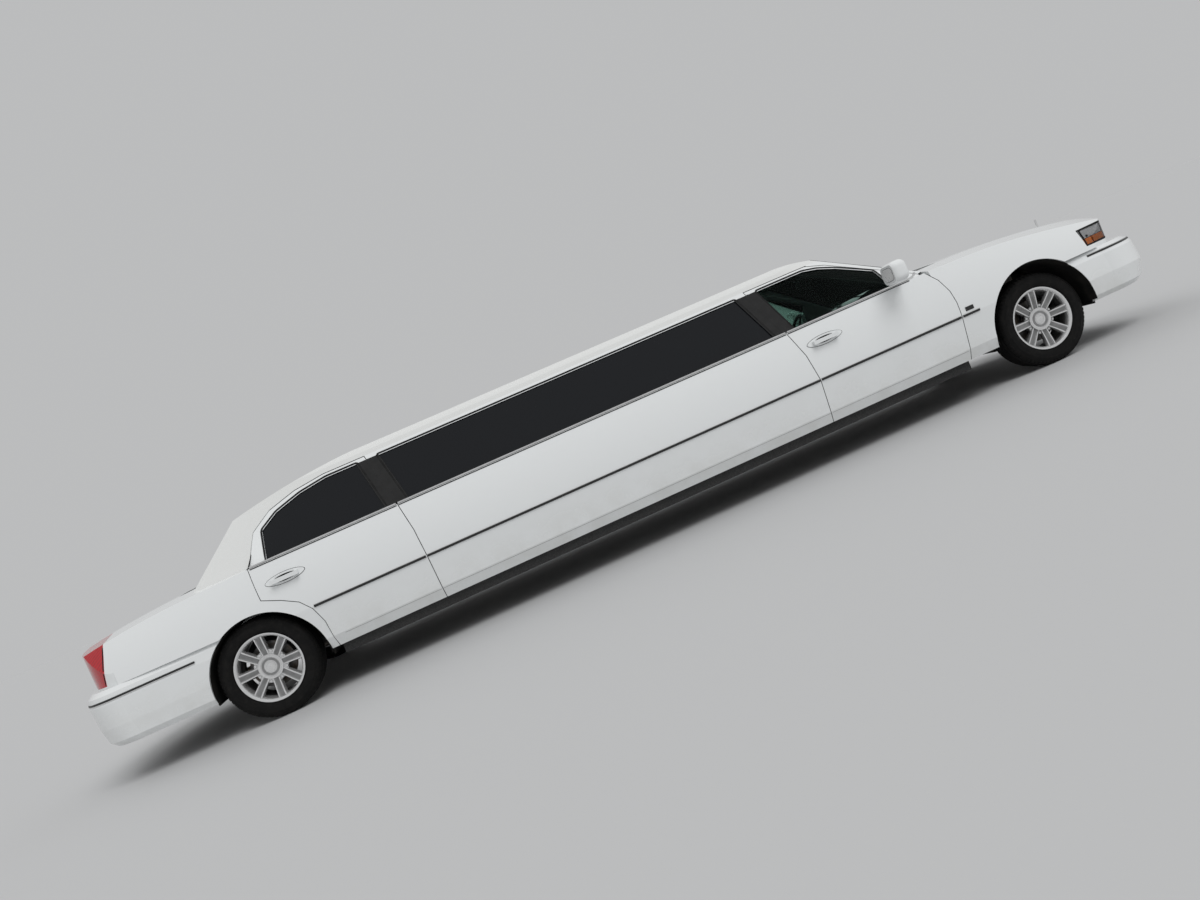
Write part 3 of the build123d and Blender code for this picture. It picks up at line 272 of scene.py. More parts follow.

# lowerShade is a greyer colour painted low on the body as shade and reflection of the ground
paintLook = {"white": (0.80, 0.82, 0.825, 1.0), "lowerShade": (0.60, 0.60, 0.57, 1.0), "lowerShadeTop": 0.62,
             "lowerShadeStrength": 0.45, "roughness": 0.20}
# the dark vinyl colour is painted shade in the grooves of the grain
vinylLook = {"light": (0.78, 0.79, 0.785, 1.0), "dark": (0.70, 0.71, 0.70, 1.0), "cells": 420.0,
             "depth": 0.0011}
glassLook = {"dark": (0.006, 0.007, 0.009, 1.0), "clear": (0.62, 0.74, 0.70, 1.0), "darkAlpha": 0.965}
# shadeAndDust is the near-black colour of the painted shade inside the wheel and of faint dust patches
alloyLook = {"bright": grey(0.82), "shadeAndDust": grey(0.06), "roughness": 0.20, "shadeDeep": 0.845, "shadeClear": 0.872}
tyreLook = {"black": grey(0.0065), "dusty": grey(0.012, 0.05), "rings": 900.0}
lampLook = {"red": (0.50, 0.003, 0.010, 1.0), "deepRed": (0.24, 0.001, 0.005, 1.0), "ribPitch": 0.0075,
            "amber": (1.0, 0.26, 0.012, 1.0), "deepAmber": (0.80, 0.15, 0.006, 1.0), "lens": (0.97, 0.98, 0.99, 1.0)}


def bodyPaintFinish():
    # white lacquer, greyer towards the sills in patches: painted shade and painted reflection of the ground, and a
    # little rougher there
    made = Material("bodyPaint", Coat_Weight=0.9, Coat_Roughness=0.03)
    height = made.axes()[2]
    lowerShading = (1.0 - height.smooth(0.25, paintLook["lowerShadeTop"])) * made.noise(5.0, 5.0, 0.65).smooth(0.30, 0.75)
    made.colour(lowerShading * paintLook["lowerShadeStrength"], paintLook["white"], paintLook["lowerShade"])
    made.set("Roughness", lowerShading * 0.35 + paintLook["roughness"])
    return made


def vinylFinish():
    # padded vinyl: leather-like cells, painted a little darker in their grooves as shade
    made = Material("vinylRoof")
    cells = made.cells(vinylLook["cells"])
    made.colour(cells.smooth(0.1, 0.7), vinylLook["light"], vinylLook["dark"])
    made.set("Roughness", made.noise(6.0, 3.0, 0.5) * 0.2 + 0.40)
    made.bump(cells, 0.40, vinylLook["depth"])
    return made


def seeThrough(name, tint, roughness):
    # thin glass: reflects at its edges and lets the tinted light through
    made = Material(name, Base_Color=grey(0.02), Roughness=roughness)
    clear = made.node("ShaderNodeBsdfTransparent", {}, {"Color": tint})
    edge = made.node("ShaderNodeFresnel", {}, {"IOR": 1.5})
    smear = made.noise(3.0, 3.0, 0.5) * 0.03
    mixed = made.node("ShaderNodeMixShader", {}, {0: edge.out(0) + smear, 1: clear})
    made.tree.links.new(made.shader.outputs[0], mixed.node.inputs[2])
    made.tree.links.new(mixed.node.outputs[0], made.output.inputs[0])
    return made


def darkGlassFinish():
    made = Material("darkGlass", Base_Color=glassLook["dark"], Alpha=glassLook["darkAlpha"],
                    Specular_IOR_Level=0.32)
    made.set("Roughness", made.noise(2.5, 3.0, 0.5) * 0.05 + 0.01)
    return made


def alloyFinish():
    # silver lacquer over cast metal, darker deep inside the wheel as painted shade, with faint patches of brake dust
    made = Material("wheelAlloy", Metallic=0.80, Coat_Weight=0.5, Coat_Roughness=0.06)
    # painted shade: the wheel inboard of the spokes turns dark
    deep = 1.0 - made.axes()[1].size().smooth(alloyLook["shadeDeep"], alloyLook["shadeClear"])
    shadeAndDust = deep * 0.80 + made.noise(9.0, 3.0, 0.5).smooth(0.4, 0.8) * 0.06
    made.colour(shadeAndDust, alloyLook["bright"], alloyLook["shadeAndDust"])
    made.set("Roughness", made.noise(9.0, 3.0, 0.5) * 0.10 + alloyLook["roughness"])
    return made


def tyreFinish():
    made = Material("tyreRubber", Specular_IOR_Level=0.18)
    patches = made.noise(26.0, 5.0, 0.65)
    made.colour(patches.smooth(0.4, 0.7), tyreLook["black"], tyreLook["dusty"])
    made.set("Roughness", patches * 0.22 + 0.62)
    made.bump(made.noise(tyreLook["rings"], 2.0, 0.5), 0.15, 0.0006)
    return made


def ribbedLens(name, first, second, axis, pitch):
    # coloured lens with fine moulded ribs
    made = Material(name, Roughness=0.10, Coat_Weight=1.0)
    ribs = (made.axes()[axis] * (2 * math.pi / pitch)).wave() * 0.5 + 0.5
    made.colour(ribs * made.noise(30.0, 2.0, 0.5), first, second)
    made.bump(ribs, 0.35, 0.0010)
    return made


def grilleFinish():
    # bright frame and bars before a dark back plate
    made = Material("grilleChrome")
    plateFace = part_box("grille")[0].x + 0.0085
    front = made.axes()[0].smooth(plateFace, plateFace + 0.002)
    made.colour(front, grey(0.010), grey(0.85))
    made.set("Metallic", front)
    made.set("Roughness", front * -0.5 + 0.60)
    return made


bodyPaint, vinylRoof, wheelAlloy, tyreRubber = bodyPaintFinish(), vinylFinish(), alloyFinish(), tyreFinish()
clearGlass = seeThrough("clearGlass", glassLook["clear"], 0.01)
lampLens = seeThrough("lampLens", lampLook["lens"], 0.02)
lampRed = ribbedLens("lampRed", lampLook["red"], lampLook["deepRed"], 1, lampLook["ribPitch"])
lampAmber = ribbedLens("lampAmber", lampLook["amber"], lampLook["deepAmber"], 0, lampLook["ribPitch"])

nodeFinishes = [
    (bodyPaint, "side_panels quarter_panels front_fenders hood trunk_lid front_bumper rear_bumper windshield_posts "
                "door_front_left door_front_right door_rear_left door_rear_right"),
    (vinylRoof, "roof_panel rear_posts"),
    (finish["chassisBlack"], "tail_panel cross_panels frame_rails crossmembers front_suspension rear_axle"),
    (finish["cabinCarpet"], "floor_pan"),
    (finish["linerBlack"], "wheelhouses fuel_tank"),
    (blackTrim, "cowl_panel"),
    (grilleFinish(), "grille"),
    (lampLens, "headlamps"),
    (lampRed, "tail_lamps"),
    (clearGlass, "windshield glass_front_left glass_front_right"),
    (darkGlassFinish(), "rear_window side_windows glass_rear_left glass_rear_right"),
    (finish["castMetal"], "driveline engine_block knuckle_left knuckle_right"),
    (finish["exhaustSteel"], "exhaust"),
    (seatLeather, "front_seats lounge_seats"),
    (finish["cabinTrim"], "partition dashboard steering_wheel"),
    (wheelAlloy, "rim_front_left rim_front_right rim_rear_left rim_rear_right"),
    (tyreRubber, "tyre_front_left tyre_front_right tyre_rear_left tyre_rear_right"),
]
for coat, names in nodeFinishes:
    for name in names.split():
        materials = nodes[name].data.materials
        materials.clear()
        materials.append(coat.data)
print("finishes set")


# ---- meshes and pieces
def reworked(mesh, smooth=True, change=None):
    # a mesh after a change to its faces, with all of them looking outward
    solid = bmesh.new()
    solid.from_mesh(mesh)
    if change:
        change(solid)
    bmesh.ops.recalc_face_normals(solid, faces=solid.faces)
    for face in solid.faces:
        face.smooth = smooth
    solid.to_mesh(mesh)
    solid.free()
    return mesh


def bevel(solid, width, segments=3):
    bmesh.ops.bevel(solid, geom=solid.edges[:], offset=width, segments=segments, profile=0.5, affect="EDGES")


def blank(name, coat):
    made = bpy.data.meshes.new(name)
    made.materials.append(coat.data)
    return made


def meshFrom(name, points, faces, coat, smooth=True):
    made = blank(name, coat)
    made.from_pydata([tuple(p) for p in points], [], faces)
    return reworked(made, smooth)


def lofted(name, rings, coat, smooth=True, closed=False):
    # a skin over rings of equally many points; a row of rings that isn't closed gets end faces
    total, count, faces = len(rings), len(rings[0]), []
    for i in range(total if closed else total - 1):
        j = (i + 1) % total
        for k in range(count):
            m = (k + 1) % count
            faces.append((i * count + k, j * count + k, j * count + m, i * count + m))
    if not closed:
        faces += [tuple(range(count)), tuple(reversed(range((total - 1) * count, total * count)))]
    return meshFrom(name, [p for ring in rings for p in ring], faces, coat, smooth)


def spun(name, profile, coat, turns=72):
    # closed profile of (along, radius) points spun round Y
    angles = [2 * math.pi * i / turns for i in range(turns)]
    return lofted(name, [[(r * math.sin(a), y, r * math.cos(a)) for y, r in profile] for a in angles], coat,
                  closed=True)


def boxMesh(name, low, high, coat, edge, segments=3):
    # a box between two corners, with rounded edges
    def shape(box):
        bmesh.ops.create_cube(box, size=1.0)
        for v in box.verts:
            v.co = Vector(low[i] + (v.co[i] + 0.5) * (high[i] - low[i]) for i in range(3))
        bevel(box, edge, segments)

    return reworked(blank(name, coat), change=shape)


def joined(name, meshes):
    # one mesh from several, each part's finish kept
    whole, coats = bmesh.new(), []
    for part in meshes:
        coats += [material for material in part.materials if material not in coats]
        slots = [coats.index(material) for material in part.materials]
        before = len(whole.faces)
        whole.from_mesh(part)
        whole.faces.ensure_lookup_table()
        for face in whole.faces[before:]:
            face.material_index = slots[face.material_index]
    made = bpy.data.meshes.new(name)
    whole.to_mesh(made)
    whole.free()
    for material in coats:
        made.materials.append(material)
    return made


def moved(mesh, matrix):
    made = mesh.copy()
    made.transform(matrix)
    if matrix.determinant() < 0:
        made.flip_normals()
    return made


def piece(name, mesh, body, stands=(), sharp=35.0):
    mesh.set_sharp_from_angle(angle=math.radians(sharp))
    made = held(name, mesh)
    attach(made, body)
    if stands:
        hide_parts(*stands)
    return made


mirrorY = Matrix.Scale(-1.0, 4, (0.0, 1.0, 0.0))


def pair(name, mesh, body):
    # a left piece and its mirror image; a body name that ends in _ takes the side's name
    for side, turn in (("left", Matrix()), ("right", mirrorY)):
        piece(name + "_" + side, moved(mesh, turn), body + side if body.endswith("_") else body)


def ringTree():
    # copies of one object, turned round Y at equal steps
    shaper = Shaper("aroundAxle", {"Source": "object", "Count": "count", "Phase": "size", "Recolour": "switch",
                                   "Finish": "material"})
    points = shaper.node("GeometryNodePoints", {}, {"Count": shaper.given("Count")})
    index = shaper.node("GeometryNodeInputIndex", {}, {}).out(0)
    angle = index * (2 * math.pi) / shaper.given("Count") + shaper.given("Phase")
    turn = shaper.node("ShaderNodeCombineXYZ", {}, {"Y": angle})
    source = shaper.node("GeometryNodeObjectInfo", {}, {"Object": shaper.given("Source")})
    copies = shaper.node("GeometryNodeInstanceOnPoints", {}, {"Points": points, "Instance": source.out("Geometry"),
                                                              "Rotation": turn})
    shaper.finish(copies.out(0))
    return shaper


aroundAxle = ringTree()


def repeated(name, mesh, coat, count, phase=0.0):
    # copies of one small mesh round the axle; without a coat they keep its own finishes
    source = held(name + "Source", mesh)
    made = aroundAxle.run(name, {"Source": source, "Recolour": coat is not None,
                                 "Finish": coat.data if coat else None, "Count": count, "Phase": phase})
    bpy.data.objects.remove(source)
    return made


# ---- wheels, built round the origin with the outer face towards +Y
wheelLook = {"spokes": 8, "spokeWidth": 0.060, "ridge": 0.010, "channel": 0.007, "hubRadius": 0.118,
             "capRadius": 0.086, "nuts": 8, "tyreRadius": 0.343, "tyreHalf": 0.112, "shoulderBlocks": 68,
             "blockHalf": 0.0115}


def spokeMesh():
    # one flat bar with raised edges, from the hub plate to the lip, along +Z; the floor of its channel is
    # darker and has three fine ribs
    half, ridge, deep = wheelLook["spokeWidth"] / 2, wheelLook["ridge"], wheelLook["channel"]
    stations = [(0.070, 0.060), (0.100, 0.066), (0.150, 0.077), (0.190, 0.084), (0.214, 0.087)]
    inner, low = half - ridge - 0.004, 0.0006 - deep
    beam = [(-half - 0.006, -0.034), (-half, -0.004), (-half + 0.002, 0.0), (-half + ridge, 0.0),
            (-half + ridge + 0.003, -deep), (half - ridge - 0.003, -deep), (half - ridge, 0.0),
            (half - 0.002, 0.0), (half, -0.004), (half + 0.006, -0.034)]
    floor = [(-inner, -deep), (-inner, low)]
    for centre in (-0.55 * inner, 0.0, 0.55 * inner):
        floor += [(centre - 0.0022, low), (centre - 0.0010, 0.0030 - deep),
                  (centre + 0.0010, 0.0030 - deep), (centre + 0.0022, low)]
    floor += [(inner, low), (inner, -deep)]
    parts = []
    for section, coat in ((beam, wheelAlloy), (floor, finish["spokeShade"])):
        rings = [[(u * (0.80 + 1.3 * (radius - 0.07)), face + w, radius) for u, w in section]
                 for radius, face in stations]
        parts.append(lofted("spokePart", rings, coat, smooth=False))
    return joined("spoke", parts)


def tyreProfile():
    # side wall with its rings, shoulder, then three grooves in the tread
    top, half = wheelLook["tyreRadius"], wheelLook["tyreHalf"]
    side = [(0.0865, 0.2225), (0.0905, 0.228), (0.0905, 0.2345), (half - 0.006, 0.246), (half - 0.004, 0.250),
            (half - 0.0035, 0.254), (half - 0.001, 0.258), (half + 0.0015, 0.268), (half + 0.002, 0.280),
            (half + 0.0005, 0.293), (half + 0.0015, 0.296), (half - 0.001, 0.299), (half - 0.005, 0.310),
            (half - 0.011, 0.320), (half - 0.017, 0.327), (half - 0.024, 0.333), (half - 0.032, 0.3365)]
    tread = [(0.076, 0.3370), (0.0752, 0.3325), (0.0682, 0.3325), (0.0675, 0.3412), (0.030, 0.3426),
             (0.0294, 0.335), (0.0206, 0.335), (0.020, 0.3429), (0.0035, top), (0.003, 0.3352)]
    left = side + tread
    return left + [(-y, r) for y, r in reversed(left)]


def shoulderBlocks():
    # tread blocks that run over both shoulders, repeated round the tyre
    half, wide = wheelLook["tyreHalf"], wheelLook["blockHalf"]
    edge = [(0.0755, 0.331), (0.0755, 0.3408), (half - 0.028, 0.3398), (half - 0.019, 0.3345),
            (half - 0.0095, 0.3245), (half - 0.013, 0.318)]
    blocks = []
    for side, shift in ((1, 0.0), (-1, 0.006)):
        rings = [[(shift + x, side * y, r) for y, r in edge] for x in (-wide, wide)]
        blocks.append(lofted("block", rings, tyreRubber, smooth=False))
    return repeated("shoulderBlocks", joined("blocks", blocks), tyreRubber, wheelLook["shoulderBlocks"])


def rimProfile():
    # drop-centre barrel with a bright lip on the outer face
    return [(0.0995, 0.2325), (0.1000, 0.2300), (0.0985, 0.2235), (0.0935, 0.2165), (0.0865, 0.2125),
            (0.0700, 0.2070), (-0.0960, 0.2030), (-0.1000, 0.2120), (-0.1000, 0.2325), (-0.0905, 0.2325),
            (-0.0880, 0.2215), (0.0870, 0.2215), (0.0890, 0.2325)]


def capProfile():
    # centre cap with plain concentric rings
    capR = wheelLook["capRadius"]
    rings = []
    for i, radius in enumerate((0.074, 0.066, 0.036, 0.028)):
        rings.append((0.0705 if i % 2 else 0.0680, radius))
        rings.append((0.0680 if i % 2 else 0.0705, radius - 0.0015))
    return [(0.050, 0.001), (0.050, capR), (0.066, capR), (0.0705, capR - 0.003)] + rings + [(0.0715, 0.001)]


def wheelMeshes():
    hubR, disc = wheelLook["hubRadius"], finish["discSteel"]
    nut = spun("nut", [(0.030, 0.001), (0.030, 0.0125), (0.0555, 0.0120), (0.0605, 0.0085), (0.0615, 0.001)],
               wheelAlloy, 12)
    nut = moved(nut, Matrix.Translation((0.0, 0.0, hubR - 0.015)))
    rim = joined("rim", [
        spun("barrel", rimProfile(), wheelAlloy, 96),
        repeated("spokes", spokeMesh(), None, wheelLook["spokes"]),
        spun("hubPlate", [(0.010, 0.030), (0.010, hubR - 0.006), (0.040, hubR), (0.052, hubR - 0.004),
                          (0.055, hubR - 0.012), (0.056, 0.030)], wheelAlloy, 64),
        spun("hubCap", capProfile(), wheelAlloy, 64),
        spun("capBand", [(0.0700, 0.0600), (0.0712, 0.0595), (0.0712, 0.0440), (0.0700, 0.0435)],
             finish["spokeShade"], 64),
        repeated("nuts", nut, wheelAlloy, wheelLook["nuts"], math.pi / wheelLook["spokes"]),
        spun("brakeDisc", [(-0.0180, 0.060), (-0.0180, 0.157), (-0.0270, 0.158), (-0.0270, 0.150), (-0.0330, 0.150),
                           (-0.0330, 0.158), (-0.0420, 0.157), (-0.0420, 0.060)], disc, 64),
        spun("hubBack", [(0.012, 0.023), (0.012, 0.070), (-0.018, 0.078), (-0.018, 0.023)], disc, 48)])
    return rim, joined("tyre", [spun("tyreBody", tyreProfile(), tyreRubber, 120), shoulderBlocks()])


rimMesh, tyreMesh = wheelMeshes()
for corner in ("front_left", "front_right", "rear_left", "rear_right"):
    turn = Matrix.Rotation(0.0 if corner.endswith("left") else math.pi, 4, "Z")
    where = Matrix.Translation(middle("tyre_" + corner)) @ turn
    piece("rim_" + corner + "_alloy", moved(rimMesh, where), "wheel_" + corner, ["rim_" + corner])
    piece("tyre_" + corner + "_tread", moved(tyreMesh, where), "wheel_" + corner,
          ["tyre_" + corner], 50.0)
print("wheels made")


# ---- surfaces that the trim follows
class Skin:
    # the outer surface of a CAD piece, found by rays; a plane's two axes give a place on it
    def __init__(self, name):
        mesh, place = nodes[name].data, nodes[name].matrix_world
        self.tree = BVHTree.FromPolygons([place @ v.co for v in mesh.vertices],
                                         [tuple(f.vertices) for f in mesh.polygons])

    def hit(self, start, way):
        place, normal, _, _ = self.tree.ray_cast(Vector(start), Vector(way))
        if place is None:
            place, normal, _, _ = self.tree.find_nearest(Vector(start) + Vector(way) * 0.9)
        return place, (normal if normal.dot(Vector(way)) < 0 else -normal)

    def side(self, x, z):
        # above the belt the ray starts inside the mirror
        return self.hit((x, 0.945 if z > 1.0 else 1.8, z), (0, -1, 0))

    def above(self, x, y):
        return self.hit((x, y, 2.5), (0, 0, -1))

    def ahead(self, y, z):
        return self.hit((frontX + 3.0, y, z), (-1, 0, 0))

    def behind(self, y, z):
        return self.hit((rearX - 3.0, y, z), (1, 0, 0))

    def inside(self, x, z):
        return self.hit((x, 0.2, z), (0, 1, 0))


def resampled(path, step):
    # points at nearly equal steps along a line of corner points
    result = [Vector(path[0])]
    for a, b in zip(path, path[1:]):
        a, b = Vector(a), Vector(b)
        steps = max(1, math.ceil((b - a).length / step))
        result += [a.lerp(b, (i + 1) / steps) for i in range(steps)]
    return result


def rounded(path, radius, steps=5):
    # a line of corner points with each inner corner turned into a short curve
    result = [Vector(path[0])]
    for a, corner, b in zip(path, path[1:], path[2:]):
        a, corner, b = Vector(a), Vector(corner), Vector(b)
        cut = min(radius, (a - corner).length * 0.45, (b - corner).length * 0.45)
        first = corner + (a - corner).normalized() * cut
        last = corner + (b - corner).normalized() * cut
        for i in range(steps + 1):
            t = i / steps
            result.append(first * (1 - t) ** 2 + corner * 2 * t * (1 - t) + last * t ** 2)
    result.append(Vector(path[-1]))
    return result


def outlineMoved(points, by, closed=True):
    # an outline with each point moved along the bisector of its corner; the sign gives the side
    count, result = len(points), []
    for i, p in enumerate(points):
        p = Vector(p)
        a = Vector(points[i - 1]) if closed or i else p * 2 - Vector(points[1])
        b = Vector(points[(i + 1) % count]) if closed or i < count - 1 else p * 2 - Vector(points[i - 1])
        before, after = (p - a).normalized(), (b - p).normalized()
        out = Vector((-before.y - after.y, before.x + after.x)).normalized()
        across = max(0.5, out.dot(Vector((-before.y, before.x))))
        result.append(p + out * by / across)
    return result


def carriers(found, closed=False):
    # place, outward and forward directions at each (place, normal) of a line in space
    count, result = len(found), []
    for i in range(count):
        near = [found[k % count if closed else min(max(k, 0), count - 1)] for k in (i - 1, i, i + 1)]
        out = sum((normal for _, normal in near), Vector()).normalized()
        along = (near[2][0] - near[0][0]).normalized()
        result.append((near[1][0], (out - along * out.dot(along)).normalized(), along))
    return result


def sideOf(skin):
    # a way of looking at a skin, with the two axes of the places it takes
    return skin.side, (0, 2)


def topOf(skin):
    return skin.above, (0, 1)


def alongSurface(find, path, closed=False, inward=0.0, lift=0.0, step=0.04):
    # frames along a line on a surface. The surface is read a little inward of the line, clear of
    # an edge, and carried out to it along its tangent plane.
    line = resampled(list(path) + [path[0]] if closed else path, step)
    line = line[:-1] if closed else line
    read = outlineMoved(line, -inward, closed) if inward else line
    look, (u, v) = find
    deep, found = 3 - u - v, []
    for p, q in zip(line, read):
        place, normal = look(q[0], q[1])
        shift = Vector((0.0, 0.0, 0.0))
        shift[u], shift[v] = p[0] - q[0], p[1] - q[1]
        if abs(normal[deep]) > 0.15:
            shift[deep] = -(normal[u] * shift[u] + normal[v] * shift[v]) / normal[deep]
        found.append((place + shift + normal * lift, normal))
    return carriers(found, closed)


def aroundEnd(skin, centre, z, start, end, steps):
    # frames round the nose or tail at one height, by angle in plan
    ways = [heading(angle) for angle in spread(start, end, steps)]
    return carriers([skin.hit(Vector((centre, 0.0, z)) + way * 3.0, -way) for way in ways])


def bar(width, low, high, edge=0.0, shift=0.0):
    a, b = shift - width / 2, shift + width / 2
    return [(a, low), (a, high - edge), (a + edge, high), (b - edge, high), (b, high - edge), (b, low)]


def sweep(name, frames, section, coat, closed=False):
    # a closed section of (across, out) points carried along a line of frames
    rings = [[place + along.cross(out) * a + out * o for a, o in section] for place, out, along in frames]
    return lofted(name, rings, coat, closed=closed)


def sheet(name, grid, coat, lift, deep, smooth=False):
    # a thin closed sheet over rows of (place, normal), lift above them and deep below
    rows, columns = len(grid), len(grid[0])
    outer = [place + normal * lift for row in grid for place, normal in row]
    inner = [place - normal * deep for row in grid for place, normal in row]
    base, faces = len(outer), []
    for i in range(rows - 1):
        for k in range(columns - 1):
            a, b = i * columns + k, (i + 1) * columns + k
            faces += [(a, b, b + 1, a + 1), (base + a, base + a + 1, base + b + 1, base + b)]
    rim = [i * columns for i in range(rows)] + [(rows - 1) * columns + k for k in range(1, columns)]
    rim += [i * columns + columns - 1 for i in range(rows - 2, -1, -1)] + list(range(columns - 2, 0, -1))
    faces += [(a, b, base + b, base + a) for a, b in zip(rim, rim[1:] + rim[:1])]
    return meshFrom(name, outer + inner, faces, coat, smooth)


def patch(name, skin, edge, other, coat, lift=0.002, cells=6):
    # a sheet on the side between two side-view lines of equally many points
    grid = []
    for a, b in zip(edge, other):
        places = [Vector(a).lerp(Vector(b), t) for t in spread(0.0, 1.0, cells)]
        grid.append([skin.side(*p) for p in places])
    return sheet(name, grid, coat, lift, 0.0015)


# ---- bright and black trim
trimLook = {"beltPlace": (0.925, 1.0062), "beltHeight": 0.0135, "lineZ": 0.9925, "rubHeight": 0.016,
            "rubOut": 0.007, "creaseLineZ": 0.352, "sealWidth": 0.013, "glassInset": 0.009, "gapWidth": 0.0047,
            "gapHalf": 0.0025, "beltRise": [(-0.830, 0.9235, 1.009), (-0.805, 0.921, 1.018), (-0.795, 0.916, 1.032)]}
frontDoorSkin, rearDoorSkin, panelSkin = Skin("door_front_left"), Skin("door_rear_left"), Skin("side_panels")
# body: its skin, then both ends of the belt strip, of the rub strip and of the crease line
spans = {
    "door_rear_": (rearDoorSkin, rearX + 0.146, rearX + 1.198, rearX + 0.445, rearX + 1.246, rearX + 0.475,
                   rearX + 1.250),
    "root": (panelSkin, rearX + 1.212, frontX - 1.864, rearX + 1.259, frontX - 1.786, rearX + 1.264,
             frontX - 1.797),
    "door_front_": (frontDoorSkin, frontX - 1.850, frontX - 0.86, frontX - 1.772, frontX - 0.634,
                    frontX - 1.782, frontX - 0.662),
}


def levelLine(skin, start, end, z):
    return alongSurface(sideOf(skin), [(start, z), (end, z)], step=0.08)


def rubStrip(skin, start, end):
    # black strip with a thin bright edge along its top
    line = levelLine(skin, start, end, rubZ)
    return [sweep("rub", line, bar(trimLook["rubHeight"], -0.003, trimLook["rubOut"], 0.002), blackTrim),
            sweep("rubEdge", line, bar(0.0045, -0.003, 0.006, 0.001, 0.0100), brightTrim)]


def beltStrip(start, end, rise):
    # bright moulding on the belt ledge, curving up at the foot of the mirror where it rises
    y, z = trimLook["beltPlace"]
    ledge = resampled([(start, y, z), (end, y, z)], 0.08)
    if rise:
        ledge += [Vector((frontX, 0.0, 0.0)) + Vector(place) for place in trimLook["beltRise"]]
    return sweep("belt", carriers([(place, Vector((0, 1, 0))) for place in ledge]),
                 bar(trimLook["beltHeight"], -0.012, 0.0105, 0.003), brightTrim)


for body, (skin, beltA, beltB, rubA, rubB, lowA, lowB) in spans.items():
    # painted shadow: the thin dark line just below the belt strip
    under = sweep("under", levelLine(skin, beltA, beltB, trimLook["lineZ"]), bar(0.006, -0.002, 0.0032, 0.001),
                  blackRubber)
    crease = sweep("crease", levelLine(skin, lowA, lowB, trimLook["creaseLineZ"]), bar(0.0026, -0.002, 0.0006),
                   finish["creaseShade"])
    parts = [beltStrip(beltA, beltB, body == "door_front_"), under, crease] + rubStrip(skin, rubA, rubB)
    pair(body.rstrip("_") + "_side_trim", joined("sideTrim", parts), body)

fenderSkin = Skin("front_fenders")
markerLine = alongSurface(sideOf(fenderSkin), fromAxle(frontX, (-0.580, 0.640), (-0.517, 0.640)))
marker = sweep("fenderMarker", markerLine, bar(0.030, -0.004, 0.005, 0.003), blackTrim)
pair("fender_marker", joined("fenderRub", rubStrip(fenderSkin, frontX - 0.617, frontX - 0.482) + [marker]),
     "root")
print("side trim made")


# ---- window seals, pillars and shut lines, from side-view outlines
frontWindow = fromAxle(frontX, (-1.775, 1.012), (-1.860, 1.370), (-1.480, 1.370), (-1.366, 1.345),
                       (-1.242, 1.295), (-1.012, 1.164), (-0.997, 1.012))
rearWindow = fromAxle(rearX, (0.266, 1.012), (0.284, 1.203), (0.410, 1.282), (0.600, 1.340), (0.800, 1.370),
                      (1.035, 1.370), (1.128, 1.012))
longWindow = fromAxle(rearX, (1.285, 1.012), (1.190, 1.370)) + fromAxle(frontX, (-2.035, 1.370), (-1.938, 1.012))
pillarFoot, pillarTop = 1.008, 1.374


def windowSeal(find, outline):
    # a rubber frame just outside the pane; its surface is read on the glass, inside the frame
    half = trimLook["sealWidth"] / 2
    path = rounded(outlineMoved(outline, half), 0.02)
    frames = alongSurface(find, path, True, half + 0.010, trimLook["glassInset"], 0.05)
    return sweep("seal", frames, bar(2 * half, -0.006, 0.0016, 0.0006), blackRubber, True)


def pillar(skin, axle, foot, top, otherFoot, otherTop):
    # black sheet between a window and the shut line beside it, from the belt to the roof edge
    edges = [[(axle + a, pillarFoot), (axle + b, pillarTop)] for a, b in ((foot, top), (otherFoot, otherTop))]
    return patch("pillar", skin, *edges, glossBlack)


def gapCover(skin, axle, foot, top, width, shift):
    # black sheet over the gap between two pillars, carried by the one ahead of it: painted shade in the gap
    frames = alongSurface(sideOf(skin), fromAxle(axle, (foot, pillarFoot), (top, pillarTop)), step=0.06)
    return sweep("gapCover", frames, bar(width, 0.0014, 0.0036, 0.0008, shift), glossBlack)


# name, body, pane, outline, then the sheets beside it
windowFrames = [
    ("front_door_window_frame", "door_front_", "glass_front_left", frontWindow,
     [pillar(frontDoorSkin, frontX, -1.8570, -1.9447, -1.783, -1.868),
      gapCover(frontDoorSkin, frontX, -1.851, -1.9387, 0.030, 0.006)]),
    ("rear_door_window_frame", "door_rear_", "glass_rear_left", rearWindow,
     [pillar(rearDoorSkin, rearX, 1.122, 1.028, 1.2010, 1.1022)]),
    ("long_window_frame", "root", "side_windows", longWindow,
     [pillar(panelSkin, frontX, -1.945, -2.042, -1.8634, -1.9512),
      pillar(panelSkin, rearX, 1.2072, 1.1085, 1.293, 1.198),
      gapCover(panelSkin, rearX, 1.2132, 1.1145, 0.018, 0.008)]),
]
for label, body, glass, outline, pillars in windowFrames:
    pair(label, joined(label, [windowSeal(sideOf(Skin(glass)), outline)] + pillars), body)

# outlines seen from an end: across and height
windshieldEdge = [(-0.797, 1.048), (-0.584, 1.412), (-0.558, 1.430), (0.558, 1.430), (0.584, 1.412), (0.797, 1.048)]
rearWindowEdge = [(0.632, 1.068), (0.538, 1.346), (0.518, 1.358), (-0.518, 1.358), (-0.538, 1.346), (-0.632, 1.068)]
windshieldSkin = Skin("windshield")
for name, look, outline, inward in (("windshield_seal", windshieldSkin.ahead, windshieldEdge, 0.020),
                                    ("rear_window_seal", Skin("rear_window").behind, rearWindowEdge, -0.020)):
    frames = alongSurface((look, (1, 2)), rounded(outline, 0.03), False, inward, trimLook["glassInset"] - 0.001,
                          0.06)
    piece(name, sweep(name, frames, bar(0.012, -0.008, -0.0005, 0.001), blackRubber), "root")

